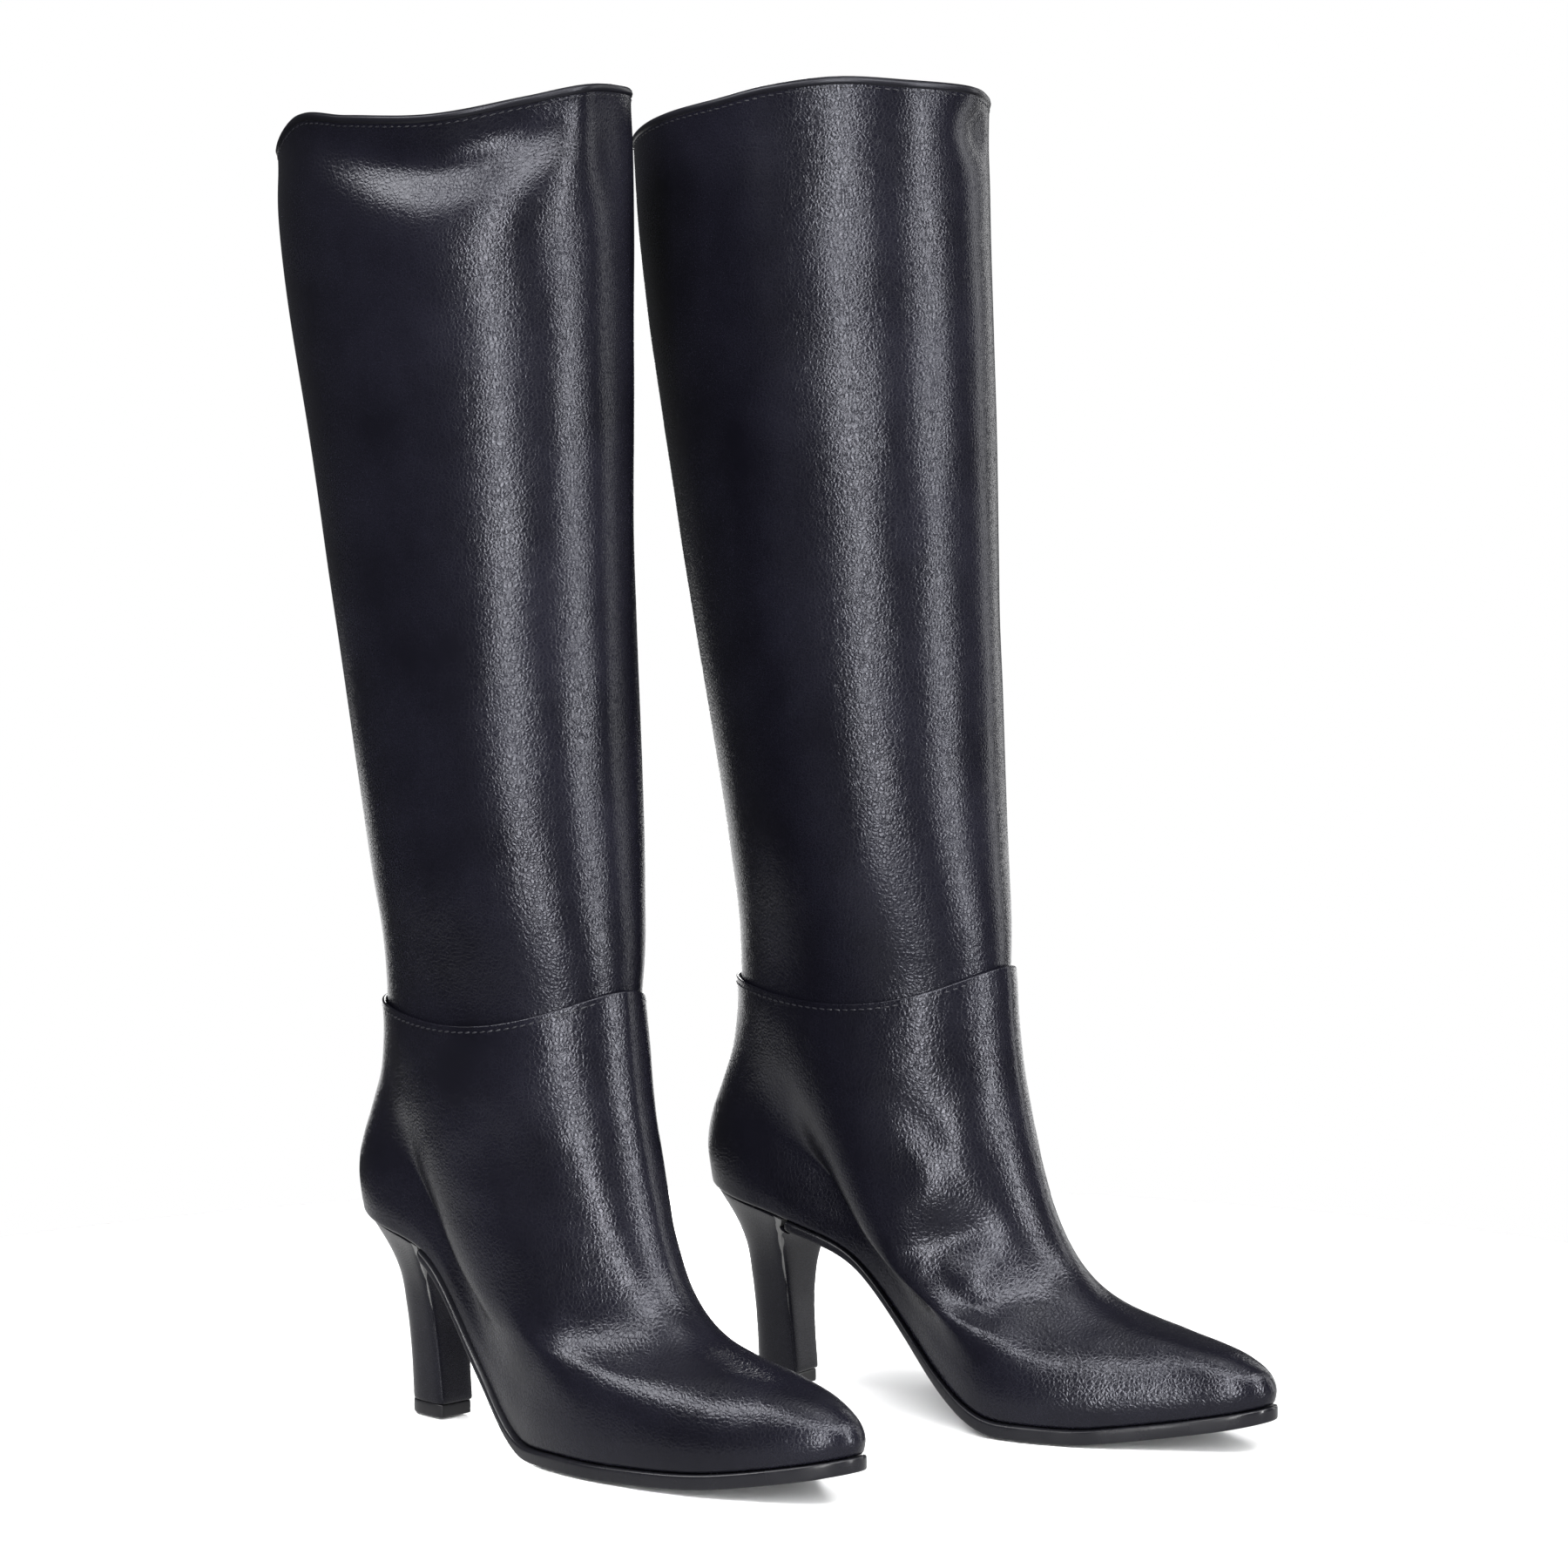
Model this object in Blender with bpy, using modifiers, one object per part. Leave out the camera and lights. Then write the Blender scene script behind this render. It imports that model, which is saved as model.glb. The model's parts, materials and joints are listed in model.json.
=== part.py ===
"""A pair of women's knee-high leather boots: pull-on shafts, almond toes and slim block heels.

The pair stands on the floor with +Z up and the toes towards -Y. The right boot is on the -X side.
Each boot is designed in its own frame, in millimetres: x runs forward from the front edge of the
heel tip, y runs towards the inner (medial) side and z runs up from the floor. The left boot is the
mirror image of the right one, turned out a little and set further forward.
"""

import math

import bmesh
import bpy
import numpy as np

MM = 0.001

# Clearances: between rigid pieces, between the layers of the bottom, and between the wall's skins.
GAP = 0.3
BOTTOM_GAP = 1.1
WALL_GAP = 0.5

# ---------------------------------------------------------------- driving dimensions, millimetres

# Where each boot stands: its own origin in the pair's frame, and how far its toe turns out.
STANCE = {
    "right": {"side": 1, "origin": (-65.6, 92.6), "toe_out_deg": 0.0},
    "left": {"side": -1, "origin": (63.2, 38.4), "toe_out_deg": 9.0},
}

# The last: the form that a boot is pulled over.
LAST_BACK = -38.5
LAST_TIP = 201.5
SEAT_HEIGHT = 67.4
SEAT_SLOPE = 0.19
SEAT_FRONT = -5.0
BALL_START = 91.0
BALL_END = 128.0
SHANK_SHAPE = 1.2
TOE_SPRING = 11.3
BALL_LINE_SLANT = 0.5

# Fullness of the last's outline at stations along x: the half-width of the ellipse through it.
OUTLINE_STATIONS = (-39, -20, 0, 20, 40, 60, 80, 100, 120, 140, 160, 180, 204)
MEDIAL_FULLNESS = (56, 46.6, 36.8, 28, 22, 23.8, 31, 36.8, 37.8, 35.1, 30.6, 27, 32)
LATERAL_FULLNESS = (56, 46.6, 36.8, 29.8, 27, 30.3, 35, 37.6, 37.8, 37.4, 35.6, 32.6, 33)

# Stations along x that the upper and the layers under the foot share, closest at the shank.
STATIONS = np.array(
    (201.5, 200.3, 196.5, 187.5, 171, 148, 122, 100, 84, 73, 63, 54, 45, 36, 27, 18, 8, -6, -20, -31, -36.7, -38.5)
)

# Levels of the foot upper from the sole to the ankle seam. Each row is the front point x and z,
# the back point x and z, the width against the outline, and the share of round ankle tube in it.
UPPER_LEVELS = np.array(
    [
        (201.5, 16.0, -38.5, 76.8, 1.00, 0.00),
        (202.3, 22.0, -39.4, 84.0, 1.03, 0.00),
        (198.5, 28.3, -39.8, 91.0, 1.02, 0.00),
        (188.0, 34.0, -38.8, 98.0, 1.00, 0.03),
        (171.0, 38.2, -37.0, 105.0, 0.97, 0.10),
        (150.5, 41.8, -34.8, 111.0, 0.94, 0.22),
        (132.0, 47.3, -32.5, 117.5, 0.92, 0.38),
        (117.5, 59.0, -30.2, 124.0, 0.90, 0.55),
        (107.5, 76.0, -28.3, 131.0, 0.88, 0.72),
        (100.5, 96.0, -27.0, 139.0, 0.86, 0.86),
        (94.5, 119.0, -26.3, 146.5, 0.85, 0.95),
        (91.0, 142.0, -26.2, 152.0, 0.85, 1.00),
        (88.8, 166.0, -26.5, 156.0, 0.85, 1.00),
    ]
)
# Levels at which the foot's skins have rows of points, between the sole and the ankle seam.
FOOT_LEVELS = (1, 2, 3, 4.5, 6, 7.5, 9.2)
SEAM_LEVEL = 12
LINING_TOP_LEVEL = 9.6
ANKLE_HALF_WIDTH = 36.0
SEAM_SIDE_Z = 152.0
SEAM_ENDS_RISE = 9.0
SEAM_FRONT_RISE = 5.0

# The shaft's cross-sections: height, centre x, half-length and half-width.
SHAFT_SECTIONS = np.array(
    [
        (140, 32.0, 54.6, 32.8),
        (160, 31.8, 54.6, 33.4),
        (178, 30.8, 55.0, 37.0),
        (200, 28.5, 55.7, 41.0),
        (240, 23.9, 57.1, 44.8),
        (280, 19.0, 60.0, 46.7),
        (320, 14.3, 63.3, 48.2),
        (360, 10.0, 66.3, 50.1),
        (400, 5.8, 68.8, 51.5),
        (440, 2.7, 70.2, 52.5),
        (490, 0.8, 71.0, 53.2),
    ]
)
TOP_FRONT_Z = 482.0
TOP_BACK_Z = 467.0
TOP_INNER_RISE = 6.5
# How far the shaft tucks into the foot piece below the seam.
SKIRT_DEPTH = 8.5
# Rows of points up the shaft, and where the facing starts between the last two of them.
SHAFT_SHARES = (0, 0.05, 0.1, 0.22, 0.4, 0.6, 0.8, 1)
FACING_START = 0.55
FACING_GAP_SHARE = 0.01
PANEL_SEAM_ANGLE = 0.012

# Heights of the heel's sections as a share of the way up, with back x, front x and half-width.
HEEL_SECTIONS = np.array(
    [
        (0.00, -20.2, 0.0, 7.8, 0.48),
        (0.25, -21.0, -1.5, 8.2, 0.48),
        (0.50, -22.8, -2.5, 9.6, 0.50),
        (0.70, -25.3, -2.0, 12.5, 0.56),
        (0.85, -30.0, 0.0, 17.5, 0.62),
        (0.94, -34.5, 3.0, 22.0, 0.70),
        (1.00, -38.3, 6.0, 25.8, 0.75),
    ]
)
LIFT_HEIGHT = 5.0

# Wall thicknesses, outermost first.
LEATHER = 1.4
STIFFENER = 0.9
LINING = 0.8
COVER = 0.9
BOARD = 2.0
SOCK = 1.5
SHANK = 1.1
SOLE_FOREFOOT = 4.6
SOLE_WAIST = 2.6
SOLE_PROJECTION = 1.2
LASTING_MARGIN = 10.0
OUTSOLE_START = 7.7
SHANK_END = 82.0
SHANK_HALF_WIDTH = 6.0
# The vertical thickness of a skin where it lies over the steepest part of the arch.
STEEP = 1.5
# How far the filler stays inside the lasting margin, and the board and sock inside the wall.
FILLER_MARGIN = 2.0
BOARD_MARGIN = 0.4
SOCK_MARGIN = 1.6
HALF_WIDTH_LEAST = 1.5

# The axis that the shaft bends about at the ankle.
ANKLE_AXIS = (32.0, 0.0, 158.0)

# The top lift's pin and the heel's screw: places along x, radii and heights.
PIN_X = -10.0
PIN_RADIUS = 1.5
PIN_BOTTOM = 2.5
PIN_TOP = 20.0
SCREW_X = -12.0
SCREW_RADIUS = 1.8
SCREW_HEAD_RADIUS = 3.4
SCREW_HEAD_HEIGHT = 1.6
SCREW_TIP = 45.0

# ---------------------------------------------------------------- curves


def smooth(start, end, at):
    """0 before start and 1 after end, with a smooth rise between them."""
    t = np.clip((at - start) / (end - start), 0.0, 1.0)
    return t * t * (3.0 - 2.0 * t)


def through(stations, values, at):
    """A smooth curve through values at stations, read at the places asked for."""
    xs = np.asarray(stations, float)
    ys = np.asarray(values, float)
    slopes = np.gradient(ys, xs)
    i = np.clip(np.searchsorted(xs, at, side="right") - 1, 0, len(xs) - 2)
    span = xs[i + 1] - xs[i]
    t = np.clip((at - xs[i]) / span, 0.0, 1.0)
    start = (1 + 2 * t) * (1 - t) ** 2 * ys[i] + t * (1 - t) ** 2 * span * slopes[i]
    end = t * t * (3 - 2 * t) * ys[i + 1] + t * t * (t - 1) * span * slopes[i + 1]
    return start + end


def outline(x, medial, grow=0.0):
    """Half-width of the last's outline at x, on its medial or its lateral side."""
    middle = (LAST_BACK + LAST_TIP) / 2
    half = (LAST_TIP - LAST_BACK) / 2
    along = np.clip((x - middle) / (half + grow), -1.0, 1.0)
    inner = through(OUTLINE_STATIONS, MEDIAL_FULLNESS, middle + along * half)
    outer = through(OUTLINE_STATIONS, LATERAL_FULLNESS, middle + along * half)
    return (np.where(medial, inner, outer) + grow) * np.sqrt(1.0 - along**2)


def tread(x, y):
    """Height of the sole's underside: heel seat, shank curve, flat ball and toe spring."""
    slant = BALL_LINE_SLANT * smooth(5, 40, x) * (1 - smooth(110, 160, x))
    u = x - slant * y
    seat = SEAT_HEIGHT - SEAT_SLOPE * (u - SEAT_FRONT)
    t = np.clip((u - SEAT_FRONT) / (BALL_START - SEAT_FRONT), 0.0, 1.0)
    drop = (1 + np.cos(math.pi * t**SHANK_SHAPE)) / 2
    spring = np.clip((u - BALL_END) / (LAST_TIP - BALL_END), 0.0, None)
    return seat * drop + TOE_SPRING * spring**1.6


def sole_top(x, y):
    """Height of the face that the lasted upper sits on."""
    return tread(x, y) + SOLE_WAIST + (SOLE_FOREFOOT - SOLE_WAIST) * smooth(40, 95, x)


def seam_height(angle):
    """Height of the ankle seam: low at the sides, higher at the back and highest in front."""
    c = np.cos(angle)
    return SEAM_SIDE_Z + c**2 * (SEAM_ENDS_RISE + SEAM_FRONT_RISE * c)


def top_height(angle):
    """Height of the shaft's top edge, which dips at the back and stands higher on the inside."""
    back = (1 - np.cos(angle)) / 2
    return TOP_FRONT_Z - (TOP_FRONT_Z - TOP_BACK_Z) * back**3 + TOP_INNER_RISE * np.sin(angle)


# ---------------------------------------------------------------- surfaces as grids of points


def around(count, start=0.0, end=2 * math.pi, closed=True):
    """Angles round a boot: 0 is the front, and the first half of the turn is the medial side."""
    return np.linspace(start, end, count, endpoint=not closed)


def foot_angles():
    """Angles round the foot whose points lie over the shared stations."""
    middle = (LAST_BACK + LAST_TIP) / 2
    half = (LAST_TIP - LAST_BACK) / 2
    medial = np.arccos((STATIONS - middle) / half)
    return np.concatenate([medial, 2 * math.pi - medial[-2:0:-1]])


def stations_between(start, end):
    """The shared stations from start to end, both included."""
    inside = [x for x in STATIONS[::-1] if start + 1 < x < end - 1]
    return np.array([start, *inside, end])


def foot_surface(levels, angles):
    """The outside of the foot upper at these levels and angles."""
    rows = np.arange(len(UPPER_LEVELS))
    front_x, front_z, back_x, back_z, width, tube = (
        through(rows, column, np.asarray(levels, float))[:, None] for column in UPPER_LEVELS.T
    )
    forward = (1 + np.cos(angles)) / 2
    medial = np.sin(angles) >= 0
    feather_x = LAST_BACK + (LAST_TIP - LAST_BACK) * forward
    feather_w = outline(feather_x, medial)
    feather_z = sole_top(feather_x, feather_w * np.sign(np.sin(angles))) + BOTTOM_GAP
    first, last = UPPER_LEVELS[0], UPPER_LEVELS[-1]
    front_rise = (front_z - first[1]) / (last[1] - first[1])
    back_rise = (back_z - first[3]) / (last[3] - first[3])
    rise = back_rise + (front_rise - back_rise) * forward
    tube_w = ANKLE_HALF_WIDTH * np.abs(np.sin(angles))
    x = back_x + (front_x - back_x) * forward
    y = (feather_w * width * (1 - tube) + tube_w * tube) * np.sign(np.sin(angles))
    z = feather_z + (seam_height(angles) - feather_z) * rise
    return np.stack([x + 0 * z, y + 0 * z, z], axis=-1)


def lasting_margin(angles, depth):
    """The edge of the upper that is pulled in under the insole board."""
    feather = foot_surface([0.0], angles)
    middle = (LAST_BACK + LAST_TIP) / 2
    half = (LAST_TIP - LAST_BACK) / 2
    x = feather[..., 0] - depth * ((feather[..., 0] - middle) / half) ** 5
    y = np.sign(feather[..., 1]) * np.clip(np.abs(feather[..., 1]) - depth, 0.0, None)
    y = y + 0.15 * (feather[..., 1] - y)
    return np.stack([x, y, sole_top(x, y) + BOTTOM_GAP], axis=-1)


def shaft_surface(shares, angles):
    """The outside of the shaft: elliptical sections from the tucked-in skirt to the top edge."""
    bottom = seam_height(angles) - SKIRT_DEPTH
    z = bottom + (top_height(angles) - bottom) * np.asarray(shares, float)[:, None]
    heights, centre, length, width = SHAFT_SECTIONS.T
    x = through(heights, centre, z) + through(heights, length, z) * np.cos(angles)
    y = through(heights, width, z) * np.sin(angles)
    return np.stack([x, y, z], axis=-1)


def inset(grid, depth):
    """The same closed tube moved inwards by depth along its own normals."""
    wide = np.pad(grid, ((0, 0), (1, 1), (0, 0)), mode="wrap")
    across = wide[:, 2:] - wide[:, :-2]
    up = np.gradient(grid, axis=0)
    normal = np.cross(across, up)
    normal /= np.linalg.norm(normal, axis=-1, keepdims=True)
    return grid - normal * depth


def heel_ring(share, count, grow=0.0):
    """Half-turn of the heel at one share of its height, from one front edge round the back."""
    stations = HEEL_SECTIONS[:, 0]
    back, front, half, power = (
        float(through(stations, column, share)) for column in HEEL_SECTIONS.T[1:]
    )
    turn = np.linspace(0.0, math.pi, count)
    x = front - (front - back + grow) * np.sin(turn) ** power
    y = (half + grow) * np.cos(turn)
    return x, y


def heel_surface(shares, count, grow=0.0):
    """Side and back of the heel from the top lift to the seat."""
    top_x, top_y = heel_ring(1.0, count)
    low = LIFT_HEIGHT + GAP
    high = sole_top(top_x, top_y)
    rows = []
    for share in shares:
        x, y = heel_ring(share, count, grow)
        rows.append(np.stack([x, y, low + (high - low) * share], axis=-1))
    return np.array(rows)


# ---------------------------------------------------------------- meshes


def to_boot_axes(points, side, origin):
    """Boot frame in millimetres to the object's own axes in metres, toes towards -Y."""
    p = np.asarray(points, float).reshape(-1, 3) - np.asarray(origin, float)
    return np.stack([side * p[:, 1], -p[:, 0], p[:, 2]], axis=-1) * MM


def mesh_object(boot, name, points, faces, origin=(0, 0, 0)):
    """One named object from points in the boot's frame. Faces are wound for the right boot."""
    mesh = bpy.data.meshes.new(f"{boot.prefix}_{name}")
    if boot.side < 0:
        faces = [tuple(reversed(face)) for face in faces]
    mesh.from_pydata(to_boot_axes(points, boot.side, origin).tolist(), [], faces)
    mesh.update()
    mesh.shade_smooth()
    obj = bpy.data.objects.new(mesh.name, mesh)
    boot.collection.objects.link(obj)
    return obj


def grid_faces(rows, columns, closed):
    """Quads of a grid, wound so that a tube's normals point outwards."""
    wrap = columns if closed else columns - 1
    faces = []
    for r in range(rows - 1):
        for c in range(wrap):
            d = (c + 1) % columns
            a, b = r * columns + c, r * columns + d
            faces += [(a, b, b + columns), (a, b + columns, a + columns)]
    return faces


def shell(boot, name, grid, thickness, closed, origin=(0, 0, 0)):
    """A skin of even thickness, grown inwards from its outer surface."""
    obj = mesh_object(boot, name, grid, grid_faces(grid.shape[0], grid.shape[1], closed), origin)
    wall = obj.modifiers.new("wall", "SOLIDIFY")
    wall.thickness = thickness * MM
    wall.offset = -1.0
    wall.use_even_offset = True
    wall.thickness_clamp = 0.0
    return obj


def slab(boot, name, stations, across, half_widths, low, high):
    """A sheet that follows the sole: low and high are its faces' heights over (x, y)."""
    shares = np.linspace(-1.0, 1.0, across)
    x = np.repeat(np.asarray(stations, float)[:, None], across, axis=1)
    medial, lateral = half_widths
    y = np.where(shares > 0, medial[:, None], lateral[:, None]) * shares
    count = len(stations)
    points = np.concatenate(
        [np.stack([x, y, face(x, y)], axis=-1).reshape(-1, 3) for face in (high, low)]
    )
    under = count * across
    top = [tuple(reversed(face)) for face in grid_faces(count, across, False)]
    faces = top + [tuple(i + under for i in reversed(face)) for face in top]
    rim = [r * across for r in range(count)]
    rim += [(count - 1) * across + c for c in range(1, across)]
    rim += [r * across + across - 1 for r in range(count - 2, -1, -1)]
    rim += list(range(across - 2, 0, -1))
    for a, b in zip(rim, rim[1:] + rim[:1]):
        faces.append((a, b, b + under, a + under))
    obj = mesh_object(boot, name, points, faces)
    outward(obj)
    return obj


def outward(obj):
    """Turns every face of a closed mesh outwards."""
    edit = bmesh.new()
    edit.from_mesh(obj.data)
    bmesh.ops.recalc_face_normals(edit, faces=edit.faces)
    edit.to_mesh(obj.data)
    edit.free()


def lofted(boot, name, rings):
    """A closed body through rings that mirror about their middle, with strips across each end."""
    rings = np.asarray(rings)
    rows, columns = rings.shape[:2]
    faces = grid_faces(rows, columns, True)
    for r in (0, rows - 1):
        for c in range(columns // 2 - 1):
            far = columns - 1 - c
            strip = (r * columns + c, r * columns + c + 1, r * columns + far - 1, r * columns + far)
            faces.append(strip if r else tuple(reversed(strip)))
    obj = mesh_object(boot, name, rings, faces)
    outward(obj)
    return obj


def turned(boot, name, profile, place, steps=16):
    """A turned piece: its profile of (radius, height) points spun about a vertical axis."""
    points = [(radius * MM, 0.0, z * MM) for radius, z in profile]
    mesh = bpy.data.meshes.new(f"{boot.prefix}_{name}")
    mesh.from_pydata(points, [(i, i + 1) for i in range(len(points) - 1)], [])
    obj = bpy.data.objects.new(mesh.name, mesh)
    boot.collection.objects.link(obj)
    spin = obj.modifiers.new("turn", "SCREW")
    spin.steps = steps
    spin.render_steps = steps
    spin.use_merge_vertices = True
    spin.merge_threshold = 0.00001
    x, y, z = place
    obj.location = (boot.side * y * MM, -x * MM, z * MM)
    return obj


def drill(boot, target, place, radius, low, high):
    """Cuts a vertical round hole through a piece, between two heights."""
    bpy.ops.mesh.primitive_cylinder_add(vertices=16, radius=radius * MM, depth=(high - low) * MM)
    cutter = bpy.context.object
    cutter.name = f"{target.name}_hole"
    x, y = place
    cutter.location = (boot.side * y * MM, -x * MM, (low + high) / 2 * MM)
    cutter.parent = boot.floor
    cutter.hide_render = True
    cutter.display_type = "WIRE"
    for home in list(cutter.users_collection):
        home.objects.unlink(cutter)
    boot.cutters.objects.link(cutter)
    cut = target.modifiers.new("hole", "BOOLEAN")
    cut.operation = "DIFFERENCE"
    cut.object = cutter


# ---------------------------------------------------------------- materials

MATERIALS = {
    "black leather": ((0.018, 0.018, 0.022), 0.42, 0.0),
    "sole rubber": ((0.012, 0.012, 0.014), 0.30, 0.0),
    "lining leather": ((0.30, 0.28, 0.27), 0.75, 0.0),
    "stiffener board": ((0.45, 0.38, 0.28), 0.85, 0.0),
    "heel plastic": ((0.06, 0.06, 0.06), 0.45, 0.0),
    "cork filler": ((0.36, 0.24, 0.14), 0.90, 0.0),
    "spring steel": ((0.55, 0.55, 0.56), 0.35, 1.0),
}


def paint(obj, kind):
    """Gives an object its own material of one kind."""
    colour, roughness, metallic = MATERIALS[kind]
    material = bpy.data.materials.new(f"{obj.name} {kind}")
    material.use_nodes = True
    shader = material.node_tree.nodes["Principled BSDF"]
    shader.inputs["Base Color"].default_value = (*colour, 1.0)
    shader.inputs["Roughness"].default_value = roughness
    shader.inputs["Metallic"].default_value = metallic
    obj.data.materials.append(material)


# ---------------------------------------------------------------- sub-parts of one boot


class Boot:
    """One boot's frame: its side, its name's prefix, and the empties that its pieces hang on."""

    def __init__(self, prefix, stance, collection, cutters):
        self.prefix = prefix
        self.side = stance["side"]
        self.collection = collection
        self.cutters = cutters
        self.floor = self.empty("floor_point")
        x, y = stance["origin"]
        self.floor.location = (x * MM, y * MM, 0.0)
        self.floor.rotation_euler.z = math.radians(stance["toe_out_deg"])
        self.ankle = self.empty("ankle_axis")
        self.ankle.parent = self.floor
        x, y, z = ANKLE_AXIS
        self.ankle.location = (self.side * y * MM, -x * MM, z * MM)

    def empty(self, name):
        obj = bpy.data.objects.new(f"{self.prefix}_{name}", None)
        self.collection.objects.link(obj)
        return obj

    def foot(self, obj, kind):
        obj.parent = self.floor
        paint(obj, kind)
        return obj

    def shaft(self, obj, kind):
        obj.parent = self.ankle
        paint(obj, kind)
        return obj


def foot_upper(boot):
    """The one-piece leather foot, from the lasting margin under the board to the ankle seam."""
    angles = foot_angles()
    margin = lasting_margin(angles, LASTING_MARGIN)
    wall = foot_surface((0, *FOOT_LEVELS, SEAM_LEVEL), angles)
    grid = np.concatenate([margin, wall])
    boot.foot(shell(boot, "foot_upper", grid, LEATHER, True), "black leather")


def foot_lining(boot):
    """The lining of the foot, which stops below the reach of the moving shaft."""
    grid = foot_surface((*FOOT_LEVELS, LINING_TOP_LEVEL), foot_angles())
    depth = LEATHER + STIFFENER + 2 * WALL_GAP
    obj = shell(boot, "foot_lining", inset(grid, depth), LINING, True)
    boot.foot(obj, "lining leather")


def stiffeners(boot):
    """The toe puff and the heel counter, between the upper and its lining."""
    wall = inset(foot_surface(FOOT_LEVELS, foot_angles()), LEATHER + WALL_GAP)
    places = {
        "toe_puff": np.roll(wall, 5, axis=1)[:4, :11],
        "heel_counter": np.roll(wall, -16, axis=1)[:5, :11],
    }
    for name, grid in places.items():
        boot.foot(shell(boot, name, grid, STIFFENER, False), "stiffener board")


def layer(boot, name, kind, stations, half_widths, low, high):
    """A sheet in the boot's bottom, between two heights over the sole's top."""

    def lower(x, y):
        return sole_top(x, y) + low

    def upper(x, y):
        return sole_top(x, y) + high

    across = 3 if name == "shank" else 5
    return boot.foot(slab(boot, name, stations, across, half_widths, lower, upper), kind)


def half_widths_inside(stations, margin):
    """Half-widths of the last's outline, less a margin, on the medial and the lateral side."""
    return tuple(
        np.clip(outline(stations, medial, -margin), HALF_WIDTH_LEAST, None)
        for medial in (True, False)
    )


def bottom_layers(boot):
    """Insole board, sock liner, steel shank and cork filler, stacked over the sole."""
    board = STEEP * LEATHER + 2 * BOTTOM_GAP
    sock = board + BOARD + BOTTOM_GAP
    wall = LEATHER + STIFFENER + LINING + 3 * WALL_GAP
    x = stations_between(LAST_BACK + wall + 1.5, LAST_TIP - wall - 2.5)
    insole = layer(
        boot,
        "insole_board",
        "stiffener board",
        x,
        half_widths_inside(x, wall + BOARD_MARGIN),
        board,
        board + BOARD,
    )
    halves = half_widths_inside(x, wall + SOCK_MARGIN)
    layer(boot, "sock_liner", "lining leather", x, halves, sock, sock + SOCK)
    margin = LASTING_MARGIN + 5
    low, high = BOTTOM_GAP, BOTTOM_GAP + SHANK
    x = stations_between(SHANK_END + 4, x[-1] - margin - 5)
    halves = half_widths_inside(x, margin + FILLER_MARGIN)
    layer(boot, "bottom_filler", "cork filler", x, halves, low, high)
    x = stations_between(OUTSOLE_START + 0.6, SHANK_END)
    half = np.full(len(x), SHANK_HALF_WIDTH)
    layer(boot, "shank", "spring steel", x, (half, half), low, high)
    head_hole = SCREW_HEAD_RADIUS + 0.5
    drill(boot, insole, (SCREW_X, 0), head_hole, 60, 90)


def outsole(boot):
    """The sole from the heel breast to the toe, with a flat ball that stands on the floor."""
    x = stations_between(OUTSOLE_START, LAST_TIP + SOLE_PROJECTION - 0.4)
    medial = outline(x, True, SOLE_PROJECTION)
    lateral = outline(x, False, SOLE_PROJECTION)
    boot.foot(slab(boot, "outsole", x, 5, (medial, lateral), tread, sole_top), "sole rubber")


def heel(boot):
    """Heel core, its leather wrap, the strip on its breast, and the top lift on its pin."""
    shares = (0.0, 0.3, 0.55, 0.75, 0.88, 0.96, 1.0)
    core = boot.foot(
        lofted(boot, "heel_core", heel_surface(shares, 16, -COVER - GAP)), "heel plastic"
    )
    cover = heel_surface(shares, 14)[:, ::-1]
    boot.foot(shell(boot, "heel_cover", cover, COVER, False), "black leather")
    boot.foot(breast_strip(boot, shares), "black leather")
    lift = boot.foot(top_lift(boot), "sole rubber")
    pin_hole = PIN_RADIUS + GAP
    drill(boot, core, (PIN_X, 0), pin_hole, LIFT_HEIGHT - 2, PIN_TOP + GAP)
    drill(boot, core, (SCREW_X, 0), SCREW_RADIUS + GAP, SCREW_TIP - 0.5, 90)
    drill(boot, lift, (PIN_X, 0), pin_hole, PIN_BOTTOM - GAP, LIFT_HEIGHT + 2)


def breast_strip(boot, shares):
    """The leather strip down the heel's front face, a little proud of the top lift."""
    surface = heel_surface(shares[:-1], 14)
    rows = []
    for row in surface:
        half = abs(row[0, 1]) - 0.4
        y = np.linspace(-half, half, 5)
        z = np.interp(y, [row[-1, 1], row[0, 1]], [row[-1, 2], row[0, 2]])
        rows.append(np.stack([np.full(5, row[0, 0] + GAP + COVER), y, z], axis=-1))
    return shell(boot, "heel_breast_cover", np.array(rows), COVER, False)


def top_lift(boot):
    """The rubber block that the heel stands on, with softened edges."""
    rings = []
    for z, grow in ((0.0, -0.5), (0.5, 0.0), (LIFT_HEIGHT, 0.0)):
        x, y = heel_ring(0.0, 16, grow)
        rings.append(np.stack([x, y, np.full(len(x), z)], axis=-1))
    return lofted(boot, "top_lift", rings)


def fasteners(boot):
    """The pin that holds the top lift, and the screw that holds the heel to the insole board."""
    pin_profile = (
        (0, PIN_TOP),
        (PIN_RADIUS - 0.4, PIN_TOP),
        (PIN_RADIUS, PIN_TOP - 0.6),
        (PIN_RADIUS, PIN_BOTTOM),
        (0, PIN_BOTTOM),
    )
    boot.foot(turned(boot, "top_lift_pin", pin_profile, (PIN_X, 0, 0)), "spring steel")
    head = float(sole_top(SCREW_X, 0.0)) + STEEP * LEATHER + 2 * BOTTOM_GAP
    screw_profile = (
        (0, head + SCREW_HEAD_HEIGHT),
        (SCREW_HEAD_RADIUS, head + SCREW_HEAD_HEIGHT),
        (SCREW_RADIUS, head + GAP),
        (SCREW_RADIUS, SCREW_TIP + 1),
        (0, SCREW_TIP),
    )
    boot.foot(turned(boot, "heel_screw", screw_profile, (SCREW_X, 0, 0)), "spring steel")


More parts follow.
